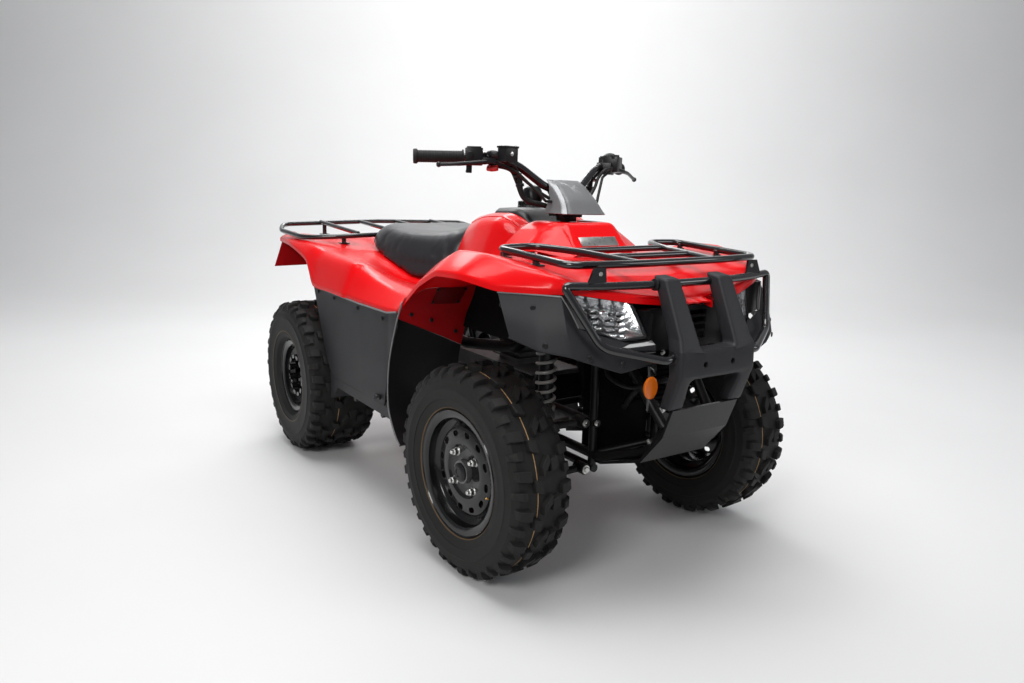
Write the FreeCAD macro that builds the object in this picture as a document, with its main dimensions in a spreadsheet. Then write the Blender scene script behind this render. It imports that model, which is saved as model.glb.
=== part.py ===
"""Utility quad bike, built as the separate pieces that the real machine is bolted together from.

+X is the rider's left, the front faces -Y, +Z is up and the floor is z = 0. The origin lies on
the floor under the middle of the bounding box. All lengths are millimetres, angles are degrees.
"""
import FreeCAD, Part
import math
import os
import types

import Sketcher

Vector = FreeCAD.Vector
OUT = "parts"

# Driving dimensions: each row is an alias of the sheet and its plain number.
SIZES = {
    # Wheels and where they stand
    "FrontAxleY": -537, "RearAxleY": 595, "AxleHeight": 270,
    "FrontTrackHalf": 390, "RearTrackHalf": 393,
    "TyreRadius": 270, "LugDepth": 15, "LugCount": 18, "LugWidth": 24,
    "FrontTyreHalf": 86, "RearTyreHalf": 122,
    "FrontFlangeRadius": 158, "RearFlangeRadius": 129,
    "FrontRimHalf": 76, "RearRimHalf": 101,
    "RimWall": 4, "RimWellDepth": 22, "BeadStep": 16,
    "DiscFace": 44, "DiscWall": 5, "SlotCount": 12,
    "StudCircle": 55, "HubBore": 30, "SeatGap": 0.3,
    # Steering
    "SteerRest": 4, "KingpinX": 300, "KingpinLow": 205, "KingpinHigh": 345,
    "ColumnLowY": -491, "ColumnLowZ": 330, "ColumnTopY": -331, "ColumnTopZ": 930,
    "ColumnRadius": 14, "SteerArm": 55, "PitmanHalf": 25, "TieRodRadius": 7, "TieRodHeight": 318,
    "BallRadius": 12, "EyeHalf": 8, "PinGap": 0.8,
    "GripEndX": 385, "GripEndY": -162, "GripInnerX": 228, "GripInnerY": -258, "GripHeight": 1036,
    "BarRadius": 11, "GripRadius": 17, "BarBendX": 150, "BarBendY": -300, "BarBendZ": 1024,
    "ClampX": 44, "ClampY": -338, "ClampZ": 913,
    # Frame and suspension
    "RailRadius": 12.5, "RailX": 108, "SkidZ": 268,
    "TowerRadius": 11, "TowerFrontY": -640, "TowerRearY": -408,
    "ArmTube": 10, "ArmBush": 15, "ArmEye": 14, "ShockEye": 14,
    "LowerArmSpread": 92, "UpperArmSpread": 84, "LowerArmZ": 250, "UpperArmZ": 372,
    "ShockX": 190, "ShockTopZ": 590, "SpringRadius": 27,
    "HousingRadius": 34, "HousingHalf": 165, "ShaftRadius": 17, "ShaftGap": 1.5,
    # Covers
    "Skin": 4, "RackTube": 11, "GuardTube": 11.5, "LampDepth": 60, "BoardTop": 330,
    "SeamTopY": -30, "SeamTopZ": 878, "SeamLean": 0.7865,
    "HitchBore": 9.5, "HitchPlate": 8, "GuardHole": 7,
}

doc = FreeCAD.newDocument("QuadBike")
sheet = doc.addObject("Spreadsheet::Sheet", "Dims")


class Size:
    """A number together with the sheet expression that it comes from."""

    def __init__(self, value, text):
        self.value = value
        self.text = text

    def __add__(self, other):
        return join(self, "+", other, self.value + number(other))

    def __radd__(self, other):
        return join(other, "+", self, number(other) + self.value)

    def __sub__(self, other):
        return join(self, "-", other, self.value - number(other))

    def __rsub__(self, other):
        return join(other, "-", self, number(other) - self.value)

    def __mul__(self, other):
        return join(self, "*", other, self.value * number(other))

    def __rmul__(self, other):
        return join(other, "*", self, number(other) * self.value)

    def __truediv__(self, other):
        return join(self, "/", other, self.value / number(other))

    def __neg__(self):
        return join(0, "-", self, -self.value)


def number(size):
    """The plain number of a size."""
    return size.value if isinstance(size, Size) else float(size)


def text(size):
    """The expression of a size."""
    return size.text if isinstance(size, Size) else f"({float(size)})"


def join(left, sign, right, value):
    return Size(value, f"({text(left)} {sign} {text(right)})")


def fill_sheet():
    """Writes the driving dimensions and returns them as sizes."""
    sizes = types.SimpleNamespace()
    for row, (alias, value) in enumerate(SIZES.items(), start=1):
        sheet.set(f"A{row}", alias)
        sheet.set(f"B{row}", str(value))
        sheet.setAlias(f"B{row}", alias)
        setattr(sizes, alias, Size(float(value), f"Dims.{alias}"))
    doc.recompute()
    return sizes


D = fill_sheet()


# Document helpers

def bind(thing, prop, size):
    """Ties a property of a document object to a size."""
    thing.setExpression(prop, text(size))


def point(x, y, z):
    return Vector(number(x), number(y), number(z))


def new_body(label):
    body = doc.addObject("PartDesign::Body", label)
    body.Label = label
    return body


def origin_part(body, role):
    return [part for part in body.Origin.OriginFeatures if part.Role == role][0]


def attach(body, plane, offset=0, turn=0):
    """An empty sketch on a main plane, moved along its normal and turned about its first axis."""
    sketch = body.newObject("Sketcher::SketchObject", "Sketch")
    sketch.AttachmentSupport = [(origin_part(body, plane + "_Plane"), "")]
    sketch.MapMode = "FlatFace"
    sketch.AttachmentOffset = FreeCAD.Placement(Vector(), FreeCAD.Rotation(Vector(1, 0, 0), number(turn)))
    bind(sketch, "AttachmentOffset.Base.z", offset)
    return sketch


def outline(body, plane, corners, rounds=(), offset=0, turn=0):
    """A closed sketch through the corners. rounds holds pairs of a corner's index and its radius."""
    sketch = attach(body, plane, offset, turn)
    flat = [Vector(number(a), number(b), 0) for a, b in corners]
    for index, start in enumerate(flat):
        sketch.addGeometry(Part.LineSegment(start, flat[(index + 1) % len(flat)]))
    for index, corner in enumerate(corners):
        before = (index - 1) % len(corners)
        sketch.addConstraint(Sketcher.Constraint("Coincident", before, 2, index, 1))
        for kind, size in zip(("DistanceX", "DistanceY"), corner):
            row = sketch.addConstraint(Sketcher.Constraint(kind, -1, 1, index, 1, number(size)))
            if isinstance(size, Size):
                sketch.setExpression(f"Constraints[{row}]", size.text)
    for index, radius in rounds:
        sketch.fillet(index, 1, number(radius), True, True)
        arc = sketch.GeometryCount - 2
        row = sketch.addConstraint(Sketcher.Constraint("Radius", arc, number(radius)))
        if isinstance(radius, Size):
            sketch.setExpression(f"Constraints[{row}]", radius.text)
    return sketch


def circle(body, plane, centre, radius, offset=0):
    sketch = attach(body, plane, offset)
    sketch.addGeometry(Part.Circle(Vector(number(centre[0]), number(centre[1]), 0), Vector(0, 0, 1), number(radius)))
    rows = (("DistanceX", -1, 1, 0, 3, centre[0]), ("DistanceY", -1, 1, 0, 3, centre[1]))
    for kind, root, root_end, index, end, size in rows:
        row = sketch.addConstraint(Sketcher.Constraint(kind, root, root_end, index, end, number(size)))
        if isinstance(size, Size):
            sketch.setExpression(f"Constraints[{row}]", size.text)
    row = sketch.addConstraint(Sketcher.Constraint("Radius", 0, number(radius)))
    if isinstance(radius, Size):
        sketch.setExpression(f"Constraints[{row}]", radius.text)
    return sketch


def pad(body, sketch, length, both=False, back=False):
    """Adds the sketch's prism: forward, back, or half to each side."""
    feature = body.newObject("PartDesign::Pad", "Pad")
    feature.Profile = sketch
    feature.SideType = "Symmetric" if both else "One side"
    feature.Reversed = back
    bind(feature, "Length", length)
    return feature


def pocket(body, sketch, length, both=False, back=False):
    """Cuts the sketch's prism: behind the sketch, before it, or half to each side."""
    feature = body.newObject("PartDesign::Pocket", "Pocket")
    feature.Profile = sketch
    feature.SideType = "Symmetric" if both else "One side"
    feature.Reversed = back
    bind(feature, "Length", length)
    return feature


def revolve(body, sketch, axis="H_Axis"):
    feature = body.newObject("PartDesign::Revolution", "Revolution")
    feature.Profile = sketch
    feature.ReferenceAxis = (sketch, [axis])
    feature.Angle = 360
    return feature


def polar(body, originals, count, role="X_Axis"):
    """Repeats features round an axis of the body."""
    feature = body.newObject("PartDesign::PolarPattern", "Ring")
    feature.Originals = originals
    feature.Axis = (origin_part(body, role), [""])
    feature.Angle = 360
    feature.Occurrences = int(number(count))
    bind(feature, "Occurrences", count)
    body.Tip = feature
    return feature


def place(thing, x, y, z, steer=None):
    """Puts a piece at a point; steer then turns it about a line through a centre."""
    move = f"placement(vector({text(x)}; {text(y)}; {text(z)}); rotation(vector(0; 0; 1); 0))"
    if steer is None:
        thing.setExpression("Placement", move)
        return
    axis, centre, angle = steer
    line = "; ".join(text(size) for size in axis)
    pivot = "; ".join(text(size) for size in centre)
    turn = f"placement(vector(0; 0; 0); rotation(vector({line}); {text(angle)}); vector({pivot}))"
    thing.setExpression("Placement", f"{turn} * {move}")


def twin(label, source):
    """The piece of the other side, mirrored across the middle plane."""
    copy = doc.addObject("Part::Mirroring", label)
    copy.Source = source
    copy.Normal = Vector(1, 0, 0)
    copy.Base = Vector(0, 0, 0)
    copy.Label = label
    return copy


def pair(label, source):
    """One node that holds a piece and its mirror image."""
    group = doc.addObject("Part::Compound", label)
    group.Links = [source, twin(label + "_other_side", source)]
    group.Label = label
    return group


def feature(label, shape):
    """A piece whose shape is worked out here from the sheet's sizes."""
    thing = doc.addObject("Part::Feature", label)
    thing.Shape = shape
    thing.Label = label
    return thing


# Shape helpers

def tube(points, radius, bends=40):
    """A round tube: straight runs joined by tangent arcs, one bend radius for each inner point."""
    points = [point(*spot) for spot in points]
    radius = number(radius)
    if not isinstance(bends, (list, tuple)):
        bends = [bends] * (len(points) - 2)
    pieces = []
    start = points[0]
    for before, corner, after, bend in zip(points, points[1:], points[2:], bends):
        towards = (before - corner).normalize()
        away = (after - corner).normalize()
        half = towards.getAngle(away) / 2
        reach = bend / math.tan(half)
        first = corner + towards * reach
        centre = corner + (towards + away).normalize() * (bend / math.sin(half))
        axis = towards.cross(away).normalize()
        pieces.append(Part.makeCylinder(radius, start.distanceToPoint(first), start, first - start))
        disc = Part.Face(Part.Wire([Part.makeCircle(radius, first, towards)]))
        pieces.append(disc.revolve(centre, axis, -math.degrees(math.pi - 2 * half)))
        start = corner + away * reach
    pieces.append(Part.makeCylinder(radius, start.distanceToPoint(points[-1]), start, points[-1] - start))
    return pieces[0].multiFuse(pieces[1:]) if len(pieces) > 1 else pieces[0]


def rod(start, end, radius):
    """A straight round bar between two points."""
    start = point(*start)
    end = point(*end)
    return Part.makeCylinder(number(radius), start.distanceToPoint(end), start, end - start)


def box(x0, x1, y0, y1, z0, z1):
    low = point(x0, y0, z0)
    high = point(x1, y1, z1)
    return Part.makeBox(high.x - low.x, high.y - low.y, high.z - low.z, low)


def mirror(shape):
    return shape.mirror(Vector(), Vector(1, 0, 0))


def both_sides(shape):
    return [shape, mirror(shape)]


def fuse(shapes):
    return shapes[0].multiFuse(shapes[1:]).removeSplitter()


def ring_of(points):
    points = [point(*spot) for spot in points]
    return Part.makePolygon(points + [points[0]])


def ruled(sections):
    """A solid whose flat strips run from each closed section to the next."""
    return Part.makeLoft([ring_of(section) for section in sections], True, True)


def arch_section(y, line, skin):
    """A closed section across the machine: the skin over a right half line, mirrored to the left.

    line runs from the middle plane to the right edge as pairs of a half width and a height.
    """
    outer = [(-x, z) for x, z in reversed(line)] + [(x, z) for x, z in line if x > 0]
    inner = [(x, z - skin) for x, z in outer]
    for index, side in ((0, 1), (1, 1), (-1, -1), (-2, -1)):
        inner[index] = (inner[index][0] + side * skin, inner[index][1])
    inner[0] = (inner[0][0], outer[0][1])
    inner[-1] = (inner[-1][0], outer[-1][1])
    return [(x, y, z) for x, z in outer + inner[::-1]]


# Steering lines: the column leans back, the kingpins stand upright.
COLUMN_AXIS = (0, D.ColumnTopY - D.ColumnLowY, D.ColumnTopZ - D.ColumnLowZ)
COLUMN_FOOT = (0, D.ColumnLowY, D.ColumnLowZ)
COLUMN_TURN = (COLUMN_AXIS, COLUMN_FOOT, D.SteerRest)
RIGHT_TURN = ((0, 0, 1), (-D.KingpinX, D.FrontAxleY, 0), D.SteerRest)
LEFT_TURN = ((0, 0, 1), (D.KingpinX, D.FrontAxleY, 0), 2 * D.SteerRest)


def make_tyre(label, half, flange_radius, rim_half):
    """A tyre about the X axis: a revolved carcass with a ring of shoulder bars on each side."""
    body = new_body(label)
    bead = rim_half - 7
    seat = flange_radius - D.BeadStep + D.SeatGap
    base = D.TyreRadius - D.LugDepth
    corners = [
        (-bead, seat), (-bead, flange_radius + 2), (-half, flange_radius + 45), (4 - half, base - 28),
        (26 - half, base), (half - 26, base), (half - 4, base - 28), (half, flange_radius + 45),
        (bead, flange_radius + 2), (bead, seat),
    ]
    revolve(body, outline(body, "XY", corners))
    originals = []
    half_pitch = 180 / number(D.LugCount)
    for side, turn in ((1, 0), (-1, half_pitch)):
        bar = [
            (side * 8, base - 6), (side * 8, D.TyreRadius - 0.3), (side * (half - 20), D.TyreRadius - 3),
            (side * (half - 1), base - 26), (side * (half - 12), base - 40),
        ]
        originals.append(pad(body, outline(body, "XZ", bar, turn=turn), D.LugWidth, both=True))
    polar(body, originals, D.LugCount)
    return body


def make_rim(label, flange_radius, half, disc_face):
    """A pressed steel rim about the X axis, with its outer face towards -X."""
    body = new_body(label)
    seat = flange_radius - D.BeadStep
    well = seat - D.RimWellDepth
    wall = D.RimWall
    step = half - 30
    foot = half - 42
    corners = [
        (half, flange_radius), (half - 6, seat), (step, seat - 2), (foot, well), (-foot, well),
        (-step, seat - 2), (6 - half, seat), (-half, flange_radius), (-half, seat - wall),
        (-step - 1, seat - 2 - wall), (-foot - 2, well - wall), (foot + 2, well - wall),
        (step + 1, seat - 2 - wall), (half, seat - wall),
    ]
    revolve(body, outline(body, "XY", corners))
    thick = D.DiscWall
    dish = [(-disc_face, D.HubBore), (-disc_face, well - 1), (thick - disc_face, well - 1), (thick - disc_face, D.HubBore)]
    revolve(body, outline(body, "XY", dish))
    slot = outline(body, "YZ", [(-7, well - 38), (7, well - 38), (10, well - 16), (-10, well - 16)])
    bind(slot, "AttachmentOffset.Base.z", -disc_face)
    cut = pocket(body, slot, 60, both=True)
    polar(body, [cut], D.SlotCount)
    return body


def make_wheels():
    """Two steered front wheels on their knuckles, and two rear wheels fixed to one axle."""
    tyre = make_tyre("front_tyre_right", D.FrontTyreHalf, D.FrontFlangeRadius, D.FrontRimHalf)
    rim = make_rim("front_rim_right", D.FrontFlangeRadius, D.FrontRimHalf, D.DiscFace)
    for part in (tyre, rim):
        place(part, -D.FrontTrackHalf, D.FrontAxleY, D.AxleHeight, RIGHT_TURN)
        other = twin(part.Label.replace("right", "left"), part)
        place(other, 0, 0, 0, LEFT_TURN)
    tyre = make_tyre("rear_tyre_right", D.RearTyreHalf, D.RearFlangeRadius, D.RearRimHalf)
    rim = make_rim("rear_rim_right", D.RearFlangeRadius, D.RearRimHalf, D.DiscFace - 4)
    for part, label in ((tyre, "rear_tyres"), (rim, "rear_rims")):
        place(part, -D.RearTrackHalf, D.RearAxleY, D.AxleHeight)
        pair(label, part)


def make_knuckles():
    """Upright with spindle, brake drum, kingpin eyes and the arm that the tie rod pulls."""
    x = -D.KingpinX
    y = D.FrontAxleY
    z = D.AxleHeight
    disc_x = -D.FrontTrackHalf - D.DiscFace + D.DiscWall + D.SeatGap
    post = rod((x, y, D.KingpinLow + D.ArmEye + D.SeatGap), (x, y, D.KingpinHigh - D.ArmEye - D.SeatGap), 15)
    drum = rod((x - 34, y, z), (disc_x, y, z), D.StudCircle + 12)
    plate = rod((x - 26, y, z), (x - 34, y, z), D.StudCircle + 26)
    spindle = rod((x, y, z), (x - 30, y, z), 24)
    cap = rod((disc_x, y, z), (disc_x - 22, y, z), D.HubBore - 1)
    arm = box(x - 9, x + 9, y, y + D.SteerArm, D.TieRodHeight - 26, D.TieRodHeight - 14)
    stud = rod((x, y + D.SteerArm, D.TieRodHeight - 26), (x, y + D.SteerArm, D.TieRodHeight - D.EyeHalf - D.PinGap), 8)
    right = feature("knuckle_right", fuse([post, drum, plate, spindle, cap, arm, stud]))
    place(right, 0, 0, 0, RIGHT_TURN)
    left = twin("knuckle_left", right)
    place(left, 0, 0, 0, LEFT_TURN)


def turned(spot, steer, share=1):
    """Where a steered point lies at rest."""
    axis, centre, angle = steer
    rotation = FreeCAD.Rotation(point(*axis), number(angle) * share)
    pivot = point(*centre)
    return pivot + rotation.multVec(spot - pivot)


def make_tie_rods():
    """Each rod reaches from an eye on the column's arm to the eye on its knuckle."""
    up = point(*COLUMN_AXIS).normalize()
    back = Vector(0, up.z, -up.y)
    half = number(D.EyeHalf)
    for label, side, steer, share in (("right", -1, RIGHT_TURN, 1), ("left", 1, LEFT_TURN, 0.5)):
        outer = turned(Vector(side * number(D.KingpinX), number(D.FrontAxleY + D.SteerArm),
                              number(D.TieRodHeight)), steer, share)
        pitman = point(*COLUMN_FOOT) + back * number(D.SteerArm) + Vector(side * number(D.PitmanHalf), 0, 0)
        inner = turned(pitman, COLUMN_TURN)
        eyes = [Part.makeCylinder(number(D.BallRadius), 2 * half, spot - axis * half, axis)
                for spot, axis in ((inner, up), (outer, Vector(0, 0, 1)))]
        bar = Part.makeCylinder(number(D.TieRodRadius), outer.distanceToPoint(inner), inner, outer - inner)
        feature(f"tie_rod_{label}", fuse([bar] + eyes))


def bar_end():
    """The left end of the bar, the way inward along it and the way forward from it."""
    end = point(D.GripEndX, D.GripEndY, D.GripHeight - 4)
    along = (point(D.GripInnerX, D.GripInnerY, D.GripHeight) - end).normalize()
    return end, along, Vector(-along.y, along.x, 0).normalize()


def make_steering():
    """Column, handlebar and grips, built straight ahead. Returns them and the bar's shape."""
    foot = point(*COLUMN_FOOT)
    top = Vector(0, number(D.ColumnTopY), number(D.ColumnTopZ))
    up = (top - foot).normalize()
    back = Vector(0, up.z, -up.y)
    arm_length = number(D.SteerArm)
    pitman_half = number(D.PitmanHalf)
    clamp_at = point(0, D.ClampY, D.ClampZ)
    tilt = FreeCAD.Rotation(Vector(0, 0, 1), up)
    plate_top = number(D.BarRadius + D.SeatGap)
    shaft_end = foot + up * (up.dot(clamp_at - foot) - plate_top - 6)
    shaft = Part.makeCylinder(number(D.ColumnRadius), foot.distanceToPoint(shaft_end) + 34, foot - up * 34, up)
    web = Part.makeBox(2 * pitman_half + 22, arm_length + 24, 12, Vector(-pitman_half - 11, -14, 0))
    web.Placement = FreeCAD.Placement(foot - up * 34, tilt)
    stud_length = 34 - number(D.EyeHalf + D.SeatGap)
    studs = [Part.makeCylinder(7, stud_length, foot - up * 34 + back * arm_length + Vector(side * pitman_half, 0, 0), up)
             for side in (-1, 1)]
    half_plate = number(D.ClampX)
    plate = Part.makeBox(2 * half_plate, 36, 14, Vector(-half_plate, -18, -plate_top - 14))
    plate.Placement = FreeCAD.Placement(clamp_at, tilt)
    column = feature("steering_column", fuse([shaft, web, plate] + studs))
    half_route = [
        (D.GripEndX, D.GripEndY, D.GripHeight - 4), (D.GripInnerX, D.GripInnerY, D.GripHeight),
        (D.BarBendX, D.BarBendY, D.BarBendZ), (D.ClampX + 12, D.ClampY, D.ClampZ),
    ]
    bar = tube(half_route + [(-x, y, z) for x, y, z in reversed(half_route)], D.BarRadius, [60, 38, 30, 30, 38, 60])
    brace_route = [(D.BarBendX - 14, D.BarBendY - 3, D.BarBendZ - 20), (72, -303, 968)]
    brace = tube(brace_route + [(-x, y, z) for x, y, z in reversed(brace_route)], 7, 24)
    bar = fuse([bar, brace])
    end, along, side = bar_end()
    grip = Part.makeCylinder(number(D.GripRadius), 118, end - along * 4, along)
    grip = grip.cut(Part.makeCylinder(number(D.BarRadius), 114, end, along))
    return [column, feature("handlebar", bar), feature("grips", Part.makeCompound(both_sides(grip)))], bar


def make_controls(bar):
    """Switch boxes with their levers, beside the grips, and a cable from each down to the shroud."""
    end, along, ahead = bar_end()
    frame = FreeCAD.Rotation(along, -ahead, Vector(), "XYZ")

    def at(distance, forward=0, up=0):
        return end + along * distance + ahead * forward + Vector(0, 0, up)

    def block(start, length, back, front, low, high):
        """A block on the bar: from start inward by length, between two places across it and two heights."""
        solid = Part.makeBox(length, front - back, high - low, Vector(start, -front, low))
        solid.Placement = FreeCAD.Placement(end, frame)
        return solid

    housing = [block(122, 34, -20, 24, -20, 22), block(150, 26, -16, 18, -15, 15), block(152, 34, 16, 50, -16, -2)]
    lever = tube([at(176, 30, -8), at(150, 44, -12), at(60, 52, -34), at(-4, 46, -44)], 5, [30, 60])
    left = fuse(housing + [lever]).cut(bar)
    arm = rod(at(160, 16, 8), (198, -330, 1052), 7)
    reservoir = box(177, 213, -356, -322, 1034, 1064)
    thumb = [block(124, 16, -50, 10, -40, -34), block(124, 12, -6, 14, -40, -14)]
    right = mirror(fuse(housing + [lever, arm, reservoir] + thumb).cut(bar))
    start = 186 + number(D.SeatGap)
    route = [at(start, 33, -9), at(start + 22, 33, -9), (158, -324, 998), (106, -364, 940), (96, -372, 925), (75.3, -372, 925)]
    cable = tube(route, 4, [24, 30, 12, 8])
    cables = feature("control_cables", Part.makeCompound(both_sides(cable)))
    return [feature("left_control", left), feature("right_control", right), cables]


def make_pod():
    """The silver shroud that leans forward over the bar's clamp, open at its back."""
    skin = number(D.Skin)
    rows = [
        # z, front y, half width, side depth
        (984, -334, 52, 26),
        (966, -372, 60, 52),
        (932, -410, 68, 56),
        (894, -438, 80, 84),
    ]
    sections = []
    for z, front, half, depth in rows:
        edge = [(-half - 5, front + depth, z), (-half, front + 10, z), (-half + 14, front, z),
                (half - 14, front, z), (half, front + 10, z), (half + 5, front + depth, z)]
        inner = [(x * (1 - skin / half), y + skin, z) for x, y, z in reversed(edge[1:-1])]
        back = [(x * (1 - skin / half), y, z) for x, y, z in (edge[-1], edge[0])]
        sections.append(edge + [back[0]] + inner + [back[1]])
    stem = box(-16, 16, -378, -363.6, 886, 944)
    bridge = box(-64, 64, -404, -363.6, 936, 944)
    return feature("handlebar_pod", fuse([ruled(sections), stem, bridge]))


# Cover tables. The fender rows hold y, middle z, deck half width and z, crest half width and z, lip half width and z.
FRONT_FENDER = [
    (-872, 712, 28, 713, 38, 712, 48, 696),
    (-846, 718, 32, 720, 42, 719, 52, 702),
    (-836, 719, 110, 721, 158, 721, 176, 701),
    (-790, 732, 200, 734, 272, 736, 292, 714),
    (-750, 758, 268, 762, 330, 766, 348, 722),
    (-655, 778, 290, 784, 382, 790, 424, 728),
    (-560, 785, 300, 790, 398, 808, 468, 750),
    (-440, 785, 300, 788, 400, 806, 466, 744),
    (-335, 765, 300, 760, 396, 768, 458, 704),
    (-250, 700, 300, 690, 392, 692, 452, 655),
]
REAR_FENDER = [
    (-30, 690, 190, 690, 330, 668, 420, 604),
    (110, 696, 262, 696, 404, 706, 456, 612),
    (300, 698, 270, 706, 430, 730, 463, 612),
    (445, 700, 262, 712, 434, 726, 463, 618),
    (530, 716, 262, 728, 430, 742, 455, 690),
    (720, 752, 262, 756, 416, 764, 446, 732),
    (925, 752, 262, 756, 384, 764, 416, 734),
]
# The tank rows hold y, top z and half width, shoulder z and half width, foot z and half width.
TANK = [
    (-322, 856, 88, 838, 142, 742, 206),
    (-296, 862, 94, 844, 150, 740, 211),
    (-262, 878, 104, 860, 156, 733, 213),
    (-220, 888, 112, 868, 158, 728, 214),
    (-110, 886, 104, 866, 150, 724, 214),
]


# The sheet behind each front wheel, seen from the side: its front line downwards, then its back line upwards.
GUARD_LINE = [(-236, 654), (-200, 600), (-150, 470), (-138, 390), (-146, 320), (-186, 262), (-214, 240)]
GUARD_BACK = [(-210, 235), (-180, 257), (-140, 317), (-132, 390), (-144, 472), (-194, 603), (-231, 657)]


def fender_line(row):
    y, mid_z, deck_x, deck_z, crest_x, crest_z, lip_x, lip_z = row
    return [(0, mid_z), (deck_x, deck_z), (crest_x, crest_z), (lip_x, lip_z + 14), (lip_x, lip_z)]


def tank_line(row):
    y, top_z, top_x, side_z, side_x, foot_z, foot_x = row
    return [(0, top_z), (top_x, top_z), (side_x, side_z), (foot_x, foot_z)]


def height_over(rows, half_line, x, y):
    """The height of a cover's outer surface above a spot of its plan."""
    low, high = next(two for two in zip(rows, rows[1:]) if two[0][0] <= y <= two[1][0])
    share = (y - low[0]) / (high[0] - low[0])
    line = [(a + (c - a) * share, b + (d - b) * share) for (a, b), (c, d) in zip(half_line(low), half_line(high))]
    inner, outer = next(two for two in zip(line, line[1:]) if two[0][0] <= abs(x) <= two[1][0])
    return inner[1] + (outer[1] - inner[1]) * (abs(x) - inner[0]) / (outer[0] - inner[0])


def highest_over(rows, half_line, x, y, radius):
    """The greatest height of a cover under a round foot."""
    return max(height_over(rows, half_line, x + a * radius, y + b * radius) for a, b in ((1, 0), (-1, 0), (0, 1), (0, -1)))


def lowest_over(rows, half_line, x, y, radius):
    """The least height of a cover over a round head."""
    return min(height_over(rows, half_line, x + a * radius, y + b * radius) for a, b in ((1, 0), (-1, 0), (0, 1), (0, -1)))


def full_section(line, place_y):
    """A closed solid section from a half line; place_y gives y for each height."""
    return [(x, place_y(z), z) for x, z in [(-x, z) for x, z in reversed(line)] + line[1:]]


def seam(z):
    """Where the tank cover ends and the seat begins: a plane that leans back towards its foot."""
    return number(D.SeamTopY) + (number(D.SeamTopZ) - z) * number(D.SeamLean)


def make_front_fender():
    """One red moulding over both front wheels, with the nose between the headlamps."""
    sections = [arch_section(row[0], fender_line(row), number(D.Skin)) for row in FRONT_FENDER]
    tunnel = box(-170, 170, -470, -200, 600, 900)
    legs = box(-300, 300, -335, -200, 600, 900)
    return feature("front_fender", ruled(sections).cut(tunnel.fuse(legs)))


def make_nose_cowl():
    gap = number(D.SeatGap)
    rows = [
        # y, top z, top half width, shoulder z, shoulder half width, foot z, foot half width
        (-335, 872, 98, 850, 148, 800, 205),
        (-420, 868, 84, 850, 122, 800, 196),
        (-482, 862, 70, 848, 88, 802, 150),
        (-560, 822, 84, 812, 98, height_over(FRONT_FENDER, fender_line, 120, -560) + gap, 120),
        (-612, 798, 92, 794, 102, height_over(FRONT_FENDER, fender_line, 112, -612) + gap, 112),
    ]
    sections = [arch_section(row[0], tank_line(row), number(D.Skin)) for row in rows]
    slot = box(-52, 52, -436, -300, 700, 950)
    return feature("nose_cowl", ruled(sections).cut(slot))


def make_tank_cover():
    sections = [full_section(tank_line(row), lambda z, y=row[0]: y) for row in TANK]
    rear = [(0, 872), (80, 872), (126, 842), (232, 706)]
    sections.append(full_section(rear, lambda z: seam(z) - number(D.SeatGap) * 1.3))
    return feature("tank_cover", ruled(sections))


def make_tank_top():
    """The black lid on the tank cover, with its cap."""
    rows = [
        # y, rise over the tank, half width, edge half width
        (-318, 4, 66, 78),
        (-296, 5, 72, 84),
        (-262, 13, 80, 92),
        (-220, 15, 84, 98),
        (-110, 14, 72, 86),
    ]
    sections = []
    for y, rise, top_x, edge_x in rows:
        z = height_over(TANK, tank_line, 0, y) + number(D.SeatGap)
        sections.append([(-edge_x, y, z), (-top_x, y, z + rise), (top_x, y, z + rise), (edge_x, y, z)])
    cap = Part.makeCylinder(34, 26, Vector(0, -170, 895))
    return feature("tank_top_cover", ruled(sections).fuse(cap))


def make_seat():
    fender_z = height_over(REAR_FENDER, fender_line, 250, 250) + 2 * number(D.SeatGap)
    rows = [
        # foot y, top y, top z, top half width, side z, side half width, foot z, foot half width
        (seam(700), seam(878), 878, 60, 842, 112, 700, 236),
        (125, 45, 830, 100, 800, 150, 701, 238),
        (150, 110, 812, 138, 790, 176, 702, 241),
        (250, 250, 806, 158, 785, 200, fender_z, 250),
        (420, 420, 812, 168, 790, 205, 722, 245),
        (540, 540, 812, 155, 790, 190, 748, 208),
    ]
    sections = []
    for foot_y, top_y, top_z, top_x, side_z, side_x, foot_z, foot_x in rows:
        line = [(0, top_z), (top_x, top_z), (side_x, side_z), (foot_x, foot_z)]
        lean = (foot_y - top_y) / (top_z - foot_z)
        sections.append(full_section(line, lambda z, y=top_y, high=top_z, lean=lean: y + (high - z) * lean))
    return feature("seat", ruled(sections))


def make_rear_fender():
    """The red moulding over both rear wheels and behind the seat, with the liners behind the front wheels."""
    skin = number(D.Skin)
    sections = [arch_section(row[0], fender_line(row), skin) for row in REAR_FENDER]
    legs = box(-170, 170, -40, 60, 600, 900)
    flap_low, flap_lean = 634, 0.13
    corners = [(300, 754), (412, 742), (450, flap_low), (300, flap_low)]
    face = [(x, 902 + flap_lean * (z - flap_low), z) for x, z in corners]
    flap = ruled([face, [(x, y + skin, z) for x, y, z in face]])
    moulding = fuse([ruled(sections).cut(legs)] + both_sides(flap))
    liner = ruled([[(x, y, z) for y, z in GUARD_LINE + GUARD_BACK] for x in (-455, -230)])
    low = [(-460, 600), (-225, 500), (-225, 200), (-460, 200)]
    lift = number(D.SeatGap)
    liner = liner.cut(ruled([[(x, y, z + lift) for x, z in low] for y in (-300, -100)]))
    feature("rear_fender", Part.makeCompound([moulding] + both_sides(liner)))


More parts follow.
